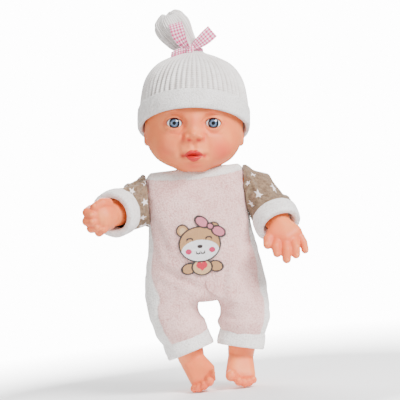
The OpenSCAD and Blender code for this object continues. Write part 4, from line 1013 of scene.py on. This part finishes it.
ARMHOLE_X = 43.3
for name, (side, ref, arm) in ARMS.items():
    line = [[ARMHOLE_X - 0.8, 0, SHOULDER_Z, 15.8], [ARMHOLE_X, 0, SHOULDER_Z + 0.2, 18.4],
            [47, -0.6, 172.8, 19.8]]
    line += [p[:3] + [r] for p, r in zip(arm[3:6], (20.2, 19.4, 18.2))]

    def sleeve_point(u, v, line=line, ref=ref, side=side):
        t = v * (len(line) - 1)
        (x, y, z, r), along, n1, n2 = ring_frame(line, t, ref)
        a = 2 * math.pi * u
        if v < 0.3:          # the first rings lie flat against the armhole
            k = smooth(0.36, 0.2, v)
            along = along.lerp(Vector((1, 0, 0)), k).normalized()
            n1 = (Vector(ref) - along * along.dot(Vector(ref))).normalized()
            n2 = along.cross(n1)
        ruck = smooth(0.16, 0.4, v) * smooth(1, 0.8, v)
        way = n1 * math.cos(a) + n2 * math.sin(a)
        under = smooth(0.4, -0.9, way.z)
        pleat = 4.4 * (1 - abs(math.sin(math.pi * (2.6 * v + 0.7 * math.sin(a + 0.6 * side))))) ** 1.9
        lump = 1.8 * noise.noise(Vector((way.x * 1.6, way.z * 1.6, 5 * v + side)))
        lift = ruck * ((pleat - 0.9) * (0.5 + 0.8 * under) + lump)
        spot = Vector((x, y, z)) + way * (r + lift)
        return Vector((side * max(spot.x, ARMHOLE_X - 0.8), spot.y, spot.z))

    tube = wrapped(112, 60, sleeve_point)
    uv = tube.loops.layers.uv.active
    for f in tube.faces:
        for loop in f.loops:
            loop[uv].uv = (loop[uv].uv.x * 9 * STAR_GRID, loop[uv].uv.y * 46)
    made = piece(tube, f"{name}_sleeve_cloth", f"{name}_arm", jersey, [f"{name}_sleeve"])
    start = side * ARMHOLE_X / 1000 + MIDDLE.x
    last = Vector((side * line[-1][0], line[-1][1], line[-1][2])) * 0.001 + MIDDLE
    crumple(made, lambda co: 1.0 if abs(co.x - start) < 0.0018 or (co - last).length < 0.0206 else 0.0)
    seam = made.modifiers.new("jersey", "SOLIDIFY")
    seam.thickness, seam.offset = 0.0007, -1
band("left_wrist_band", "left_arm", "left_wrist_cuff",
     (66.9, -20.6, 142.2), (3.5, -8, -9.6), (20.6, 20.6), 15, thick=6.8, wide_way=(0, 1, 0))
band("right_wrist_band", "right_arm", "right_wrist_cuff",
     (-70.4, -28.6, 162.4), (-6, -10.4, -2), (20.8, 20.8), 16, thick=6.8, wide_way=(0, 0, 1))


# ---- arms and legs --------------------------------------------------------------------------------
# Hollow vinyl limbs, pinned to the torso by their discs: the left hand is open with its fingers
# hanging, the right is half closed. The feet are bare, with the toes pointing down and inwards.

def limb_skin(bm, path, side, ref):
    """A round tube along a limb's middle line, closed at both ends."""
    def place(u, v):
        (x, y, z, r), along, n1, n2 = ring_frame(path, v * (len(path) - 1), ref)
        r = r if 0 < v < 1 else 0
        a = 2 * math.pi * u
        spot = Vector((x, y, z)) + (n1 * math.cos(a) + n2 * math.sin(a)) * r
        return Vector((side * spot.x, spot.y, spot.z))
    tube = wrapped(28, 24, place)
    mesh = bpy.data.meshes.new("tube")
    tube.to_mesh(mesh)
    tube.free()
    bm.from_mesh(mesh)
    bpy.data.meshes.remove(mesh)


def rounded(bm, balls, side=1):
    """The solid wrapped tightly round a few balls of [x, y, z, radius]."""
    verts = []
    for x, y, z, r in balls:
        verts += bmesh.ops.create_uvsphere(bm, u_segments=18, v_segments=12, radius=r,
                                           matrix=Matrix.Translation((side * x, y, z)))["verts"]
    hull = bmesh.ops.convex_hull(bm, input=verts)
    spare = {e for e in hull["geom_interior"] + hull["geom_unused"] if isinstance(e, bmesh.types.BMVert)}
    bmesh.ops.delete(bm, geom=list(spare), context="VERTS")


def merged(bm, voxel):
    """One smooth skin round everything in a mesh, made by voxels of that size and relaxed."""
    mesh = bpy.data.meshes.new("rough")
    bm.to_mesh(mesh)
    bm.free()
    rough = bpy.data.objects.new("rough", mesh)
    bpy.context.scene.collection.objects.link(rough)
    fuse = rough.modifiers.new("fuse", "REMESH")
    fuse.mode, fuse.voxel_size = "VOXEL", voxel
    done = bmesh.new()
    done.from_mesh(rough.evaluated_get(bpy.context.evaluated_depsgraph_get()).to_mesh())
    bpy.data.objects.remove(rough)
    bpy.data.meshes.remove(mesh)
    for _ in range(2):
        bmesh.ops.smooth_vert(done, verts=done.verts, factor=0.5, use_axis_x=True, use_axis_y=True,
                              use_axis_z=True)
    return done


def blushed(bm, rosy, nails):
    """Sprays the joints pink and presses a nail into each finger or toe tip."""
    layer = bm.verts.layers.float_color.new("paint")
    bm.normal_update()
    shift = []
    for v in bm.verts:
        red = sum(amount * math.exp(-((v.co - at).length / size) ** 2) for at, size, amount in rosy)
        push = 0.0
        for at, way, size in nails:
            off = v.co - at
            if off.length > size * 2:
                continue
            flat = (off - way * off.dot(way)).length / size
            if v.normal.dot(way) > 0.25:
                push += 0.28 * smooth(1.0, 0.8, flat) - 0.3 * math.exp(-((flat - 1.08) / 0.16) ** 2)
                red -= 0.25 * smooth(1.0, 0.8, flat)
        v[layer] = (0, max(0, min(1, red)), 0, 1)
        shift.append(v.normal * push)
    for v, step in zip(bm.verts, shift):
        v.co += step


# Each hand as balls of [x, y, z, radius] from the wrist: the palm's, then three for each finger
HANDS = {
    "left": ([[0, 0, 0, 9.8], [-6, -7, -7, 8.4], [3, -9, -10, 8.6], [9.5, -6, -6.5, 8.2]],
             [[[-8, -8, -6, 5.4], [-12.5, -12.5, -9.5, 4.7], [-13.4, -15, -13.6, 4.1]],
              [[-4.8, -11.6, -11, 4.6], [-6.8, -17, -16, 4.1], [-6.2, -17.4, -21.5, 3.9]],
              [[1.8, -12.6, -13, 4.6], [2, -18.4, -20, 4.1], [1.2, -18.4, -27.4, 3.9]],
              [[8.5, -11.6, -12, 4.5], [10, -17, -18.4, 4], [9.6, -17, -24.4, 3.7]],
              [[14, -7.4, -8.6, 4.3], [17.2, -11, -15, 3.7], [18, -12, -21.6, 3.3]]]),
    "right": ([[0, 0, 0, 9.6], [-4, -8, -1, 12.2], [-7, -14, -1, 12.6]],
              [[[0, -12, 10, 5], [-4, -20, 11, 4.5], [-10.5, -22.4, 8, 4]],
               [[-14, -12, 6, 5], [-17.4, -20, 4.4, 4.4], [-13, -24.4, 1.4, 3.9]],
               [[-16, -12, -1, 5], [-18.4, -20, -3, 4.4], [-13, -24.6, -4.2, 3.9]],
               [[-14, -11, -8, 4.8], [-15.4, -19.4, -9.4, 4.2], [-10, -22.4, -9.2, 3.7]],
               [[-9, -10, -12.4, 4.4], [-9.4, -17.4, -13.6, 3.8], [-5, -20, -11.2, 3.6]]])}
limb_vinyl = skin("limb_vinyl")
for name, (side, ref, arm) in ARMS.items():
    palm, fingers = HANDS[name]
    wrist = Vector((side * arm[-1][0], arm[-1][1], arm[-1][2]))
    hand = bmesh.new()
    limb_skin(hand, arm, side, ref)
    rosy, nails = [], []
    rounded(hand, [[*(Vector(ball[:3]) + wrist), ball[3]] for ball in palm])
    for chain in fingers:
        spots = [Vector(joint[:3]) + wrist for joint in chain]
        for (a, b), (p, q) in zip(zip(spots, spots[1:]), zip(chain, chain[1:])):
            rounded(hand, [[*a, p[3]], [*b, q[3]]])
        blush = zip(spots, chain, (1.6, 0.6, 0.6), (0.5, 0.42, 0.5))
        rosy += [(spot, joint[3] + wider, amount) for spot, joint, wider, amount in blush]
        tip_way = (spots[2] - spots[1]).normalized()
        back = (spots[1] - wrist).normalized() + Vector((0, -0.7, 0.5))
        way = (back - tip_way * back.dot(tip_way)).normalized()
        nails.append((spots[2] + way * chain[2][3] + tip_way * 0.8, way, 1.9))
    hand = merged(hand, 0.7)
    blushed(hand, rosy, nails)
    piece(hand, f"{name}_arm_and_hand", f"{name}_arm", limb_vinyl, [f"{name}_arm_shell"])

THIGH_FLAT = 24.8            # how far from the doll's middle a thigh begins
LEGS = {  # the leg's middle line, then the heel, the balls of the foot and the toes
    "left": (1, [[34, 0, 98, 15.6], [33.5, -3, 78, 16.4], [29.5, -7, 54, 15.4], [26, -5, 36, 12.4],
                 [24, -2, 27, 11.3]],
             [[22.5, 5, 18, 8.3], [20, -10, 20, 8.6]], [[16, -18, 13, 7], [28, -16, 10, 7]],
             [[13.6, -27, 12, 5.0], [19.8, -27.5, 6.6, 4.0], [24.6, -26.6, 4.8, 3.9], [28.8, -25, 4.9, 3.7],
              [32.3, -22.6, 6.2, 3.4]]),
    "right": (-1, [[34, 0, 98, 15.6], [32, -3, 78, 16.4], [25, -7, 54, 15.4], [20.5, -5, 36, 12.4],
                   [19, -2, 27, 11.3]],
              [[17.5, 5, 18, 8.3], [12, -10, 21, 8.6]], [[4, -18, 15, 7], [15, -17, 9, 7]],
              [[-1.4, -27, 14.6, 5.2], [5.6, -28, 9.2, 4.2], [10.6, -27.5, 6.2, 4.0], [15.4, -26, 4.5, 3.9],
               [19.2, -24, 4.0, 3.6]])}
NAIL_WAY = Vector((0, -0.75, 0.66))          # the toenails look forwards and up
for name, (side, leg, heel, ball, toes) in LEGS.items():
    foot = bmesh.new()
    limb_skin(foot, leg, side, (1, 0, 0))
    rounded(foot, [[*leg[-1][:3], 10.8], *heel, *ball], side)
    rosy = [(Vector((side * leg[-1][0], -10, 22)), 9, 0.25)]
    nails = []
    for i, toe in enumerate(toes):
        root = ball[0 if i < 2 else 1]
        rounded(foot, [toe, [0.6 * t + 0.4 * b for t, b in zip(toe, root)][:3] + [toe[3] * 0.98]], side)
        tip = Vector((side * toe[0], toe[1], toe[2]))
        base = Vector((side * root[0], root[1], root[2]))
        rosy += [(tip, toe[3] + 1.2, 0.55), (tip.lerp(base, 0.5), toe[3], 0.3)]
        ahead = (tip - base).normalized()
        way = (NAIL_WAY - ahead * ahead.dot(NAIL_WAY)).normalized()
        nails.append((tip + way * toe[3] + ahead * 0.9, way, toe[3] * 0.52))
    foot = merged(foot, 0.75)
    for v in foot.verts:         # the inside of the thigh is flat where it turns against the seat
        v.co.x = side * max(side * v.co.x, THIGH_FLAT * smooth(52, 60, v.co.z))
    blushed(foot, rosy, nails)
    piece(foot, f"{name}_leg_and_foot", f"{name}_leg", limb_vinyl, [f"{name}_leg_shell"])


# ---- stitched bear --------------------------------------------------------------------------------
# A satin-stitched bear's head with a bow, sewn over the belly button: tan and white fillings inside a
# dark brown outline, on a thin pad that stands off the terry.

THREADS = {"tan": ink(190, 142, 92), "white": ink(240, 240, 242), "bow": ink(212, 118, 138),
           "brown": ink(44, 24, 16), "heart": ink(206, 18, 54), "cheek": ink(204, 28, 88),
           "nose": ink(40, 22, 18), "cream": ink(216, 176, 128)}


def oval(x, z, at, wide, tall, turn=0.0):
    """How far a point is inside an oval, in mm, and outside it as a negative number."""
    c, s = math.cos(math.radians(turn)), math.sin(math.radians(turn))
    dx, dz = x - at[0], z - at[1]
    across, up = (dx * c + dz * s) / wide, (dz * c - dx * s) / tall
    return (1 - math.hypot(across, up)) * min(wide, tall)


def arc(x, z, at, radius, half_width, opens_up):
    """A stitched smile or closed eye: part of a circle line."""
    dx, dz = x - at[0], z - at[1]
    on_side = dz < 0 if opens_up else dz > 0
    return 0.62 - abs(math.hypot(dx, dz) - radius) if on_side and abs(dx) < half_width else -9


BEAR = [  # from the bottom up: colour, outlined, the parts' distance functions
    ("tan", True, lambda x, z: oval(x, z, (-11.4, -19.6), 7.2, 5.2, 14)),
    ("tan", True, lambda x, z: oval(x, z, (11.8, -19.4), 7.2, 5.2, -14)),
    ("cream", True, lambda x, z: oval(x, z, (0, -19.2), 9.4, 7.4)),
    ("heart", False, lambda x, z: max(oval(x, z, (-2, -17.4), 2.7, 2.9, 25),
                                      oval(x, z, (2, -17.4), 2.7, 2.9, -25),
                                      min(3.8 - abs(x) - 0.86 * abs(z + 18.2), -17.6 - z))),
    ("tan", True, lambda x, z: oval(x, z, (-13.6, 13.4), 5.8, 5.8)),
    ("cream", False, lambda x, z: oval(x, z, (-13.4, 13), 3, 3)),
    ("tan", True, lambda x, z: oval(x, z, (13.2, 13.2), 5.8, 5.8)),
    ("tan", True, lambda x, z: oval(x, z, (0, 0.6), 18.6, 15.6)),
    ("white", False, lambda x, z: min(oval(x, z, (0, -5.2), 16.2, 9.6), oval(x, z, (0, 0.6), 17.4, 14.4))),
    ("cheek", False, lambda x, z: max(oval(x, z, (-10.2, -5), 2.7, 2.3), oval(x, z, (10.2, -5), 2.7, 2.3))),
    ("nose", False, lambda x, z: oval(x, z, (0, -1.2), 2.5, 1.6)),
    ("nose", False, lambda x, z: max(arc(x, z, (-8.2, 3.4), 3.1, 2.9, False),
                                     arc(x, z, (8.2, 3.4), 3.1, 2.9, False),
                                     arc(x, z, (-1.9, -5.4), 2.0, 1.9, True),
                                     arc(x, z, (1.9, -5.4), 2.0, 1.9, True))),
    ("bow", True, lambda x, z: oval(x, z, (3.6, 19.6), 7.2, 4.8, -38)),
    ("bow", True, lambda x, z: oval(x, z, (17.2, 10.2), 7.2, 4.8, -30)),
    ("bow", True, lambda x, z: oval(x, z, (10.6, 15.2), 3.6, 3.2, -35))]
BEAR_X, LINE = -1.5, 1.25    # where it sits across the front, and how wide its outline is


def bear_thread(x, z):
    """The thread on top at a point of the bear, and how far inside the bear the point is."""
    colour, inside = None, -9
    for name, outlined, distance in BEAR:
        depth = distance(x, z)
        if depth > 0:
            colour = "brown" if outlined and depth < LINE else name
        inside = max(inside, depth)
    return colour, inside


def on_trunk(x, height, off, back=False):
    """A point that far off the romper's smooth form, at a place across it and a height."""
    row = form_at(height)
    deep = row[3] * (1 - abs(x / row[2]) ** row[4]) ** (1 / row[4]) + off
    return Vector((x, row[1] + (deep if back else -deep), height))


CELL, ACROSS, UP = 0.42, 112, 132            # the grid that the bear is cut from
RAISED = {"brown": 0.3, "heart": 0.12, "cheek": 0.12, "nose": 0.12}      # threads on top of others
stitched = bmesh.new()
stitched.loops.layers.uv.new("UVMap")
bmesh.ops.create_grid(stitched, x_segments=ACROSS, y_segments=UP, size=0.5, calc_uvs=True)
thread = stitched.verts.layers.float_color.new("thread")
outside = []
for v in stitched.verts:
    x, z = v.co.x * ACROSS * CELL, v.co.y * UP * CELL
    colour, inside = bear_thread(x, z)
    if inside < -0.25:
        outside.append(v)
    v[thread] = THREADS[colour or "brown"]
    raised = 1.15 * smooth(-0.3, 0.5, inside) + RAISED.get(colour, 0)
    v.co = on_trunk(x + BEAR_X, z + BUTTON_Z, 0.25 + raised)
bmesh.ops.delete(stitched, geom=outside, context="VERTS")
embroidery = Finish("stitched_threads", Sheen_Weight=0.3, Specular_IOR_Level=0.45)
spread = embroidery.vector_maths("MULTIPLY", {0: embroidery.place(), 1: (1000, 1000, 260)})
threads = embroidery.waves(spread, "DIAGONAL", 0.75, Distortion=2.2, Detail=2.0, Detail_Scale=1.4)
shaded = embroidery.between(threads * 0.4, ink(255, 255, 255), ink(158, 148, 140))
embroidery.feed(Base_Color=embroidery.between(1.0, embroidery.colours("thread"), shaded, "MULTIPLY"),
                Roughness=0.62 - threads * 0.14, Normal=embroidery.relief(threads, 0.0004, 0.8))
bear = piece(stitched, "stitched_bear", "torso", embroidery, ["bear_patch"])
pad = bear.modifiers.new("pad", "SOLIDIFY")
pad.thickness, pad.offset = 0.0013, -1


# ---- back closure and seams -----------------------------------------------------------------------
# The romper closes down its back with a strip of hook-and-loop tape, sewn on all round, and its neck
# facing is held by a row of small stitches.

tape = Finish("hook_tape", Sheen_Weight=0.2, Specular_IOR_Level=0.4)
hooks = tape.node("ShaderNodeTexVoronoi", {"feature": "F1"},
                  {"Vector": tape.place(), "Scale": 1300.0, "Randomness": 0.25})
tape.feed(Base_Color=tape.between(tape.ramp(hooks, 0.2, 0.6), ink(246, 244, 240), ink(206, 202, 196)),
          Roughness=0.7 + hooks * 0.2, Normal=tape.relief(hooks, 0.0005))
TAPE_W, TAPE_LOW, TAPE_HIGH = 12, 124, 171


def tape_point(u, v):
    """The tape lies on the back of the romper: u runs up it and v round its section."""
    a = 2 * math.pi * v
    ends = min(1, u / 0.008, (1 - u) / 0.008)
    across = bent(math.cos(a), 0.35) * TAPE_W / 2
    off = 0.55 + 0.95 * bent(math.sin(a), 0.5) * (1 - 0.2 * abs(across) / TAPE_W) * ends
    return on_trunk(across * (0.9 + 0.1 * ends), TAPE_LOW + (TAPE_HIGH - TAPE_LOW) * u, off, back=True)


closure = piece(wrapped(90, 36, tape_point), "back_closure", "torso", tape,
                ["romper_back_tape"], sharp=50)

cotton = Finish("cotton_thread", Specular_IOR_Level=0.3)
twist = cotton.waves(cotton.place(), "DIAGONAL", 900.0)
cotton.feed(Base_Color=cotton.between(twist, ink(206, 190, 182), ink(240, 234, 228)),
            Roughness=0.6 + twist * 0.2, Normal=cotton.relief(twist, 0.0002))
THICK, EVERY, GAP = 0.28, 2.2, 0.75          # a stitch's half thickness, its length with its gap, the gap


def stitch_row(name, spots):
    """A row of stitches: short rounded lengths of thread along a line of points."""
    run = bmesh.new()
    left = 0.0
    line = []
    for p, q in zip(spots, spots[1:]):
        while left < (q - p).length:
            line.append(p.lerp(q, left / (q - p).length))
            left += EVERY
        left -= (q - p).length
    for p, q in zip(line, line[1:]):
        ends = [p.lerp(q, GAP / EVERY / 2), p.lerp(q, 1 - GAP / EVERY / 2)]
        turn = (ends[1] - ends[0]).to_track_quat("Z", "Y").to_matrix().to_4x4()
        made = bmesh.ops.create_uvsphere(run, u_segments=10, v_segments=8, radius=THICK)["verts"]
        for v in made:
            v.co.z += math.copysign((ends[1] - ends[0]).length / 2 - THICK, v.co.z)
            v.co = Matrix.Translation((ends[0] + ends[1]) / 2) @ turn @ v.co
    piece(run, name, "torso", cotton)


neck_line = [on_trunk(x, facing_edge(x) - 0.2, 0.35) for x in range(-34, 35, 2)]
stitch_row("neck_stitches", neck_line)
STITCH_X, STITCH_LOW, STITCH_HIGH = TAPE_W / 2 - 1.1, TAPE_LOW + 1.2, TAPE_HIGH - 1.2
tape_line = [(-STITCH_X, STITCH_LOW), (-STITCH_X, STITCH_HIGH), (STITCH_X, STITCH_HIGH),
             (STITCH_X, STITCH_LOW), (-STITCH_X, STITCH_LOW)]
tape_spots = [on_trunk(p[0] + (q[0] - p[0]) * k / 12, p[1] + (q[1] - p[1]) * k / 12, 1.45, back=True)
              for p, q in zip(tape_line, tape_line[1:]) for k in range(13)]
stitch_row("tape_stitches", tape_spots)


# ---- inside the torso -----------------------------------------------------------------------------
# Moulded plastic, metal, board and wiring, unseen while the doll is dressed: each keeps its own shape
# and takes the finish of what it is made of.

def plain_finish(name, low, high, rough, spread=220, relief=0.00008, **fixed):
    """A finish mottled between two tones, with a fine grain."""
    made = Finish(name, **fixed)
    cloud = made.grain(spread, 3)
    fine = made.grain(spread * 8, 3)
    return made.feed(Base_Color=made.between(made.ramp(cloud * 0.6 + fine * 0.4, 0.35, 0.65), low, high),
                     Roughness=rough + fine * 0.14, Normal=made.relief(fine, relief))


INSIDE = {
    "shell": plain_finish("moulded_shell", ink(206, 200, 192), ink(222, 217, 210), 0.42),
    "screw": plain_finish("zinc_screw", ink(150, 152, 156), ink(190, 192, 196), 0.3, Metallic=1.0),
    "contact": plain_finish("nickel_contact", ink(176, 172, 164), ink(208, 204, 196), 0.24, Metallic=1.0),
    "board": plain_finish("green_board", ink(22, 78, 44), ink(34, 98, 56), 0.4, Coat_Weight=0.4),
    "black_plastic": plain_finish("black_plastic", ink(20, 20, 22), ink(34, 34, 36), 0.45),
    "cone": plain_finish("paper_cone", ink(24, 23, 22), ink(44, 42, 40), 0.8, spread=500, relief=0.0002),
    "button": plain_finish("pink_button", ink(206, 96, 92), ink(220, 116, 108), 0.4),
    "wire_red": plain_finish("red_wire", ink(150, 16, 18), ink(176, 28, 26), 0.4),
    "wire_black": plain_finish("black_wire", ink(18, 18, 20), ink(32, 32, 34), 0.4)}
cell = Finish("battery_jacket", Metallic=0.55, Coat_Weight=0.5)
height = cell.axis(cell.place(), 2)
wear = cell.grain(700, 3)
cell.feed(Base_Color=cell.between(cell.ramp(height, 0.1395, 0.1398), ink(30, 30, 32), ink(190, 132, 62)),
          Roughness=0.25 + wear * 0.15, Normal=cell.relief(wear, 0.00005))
INSIDE["cell"] = cell
slots = {part["node"]: part["material_slot"] for part in frame["record"]["subparts"]}
for name, node in frame["nodes"].items():
    if not node.hide_render and slots[name] in INSIDE:
        node.data.materials[0] = INSIDE[slots[name]].material
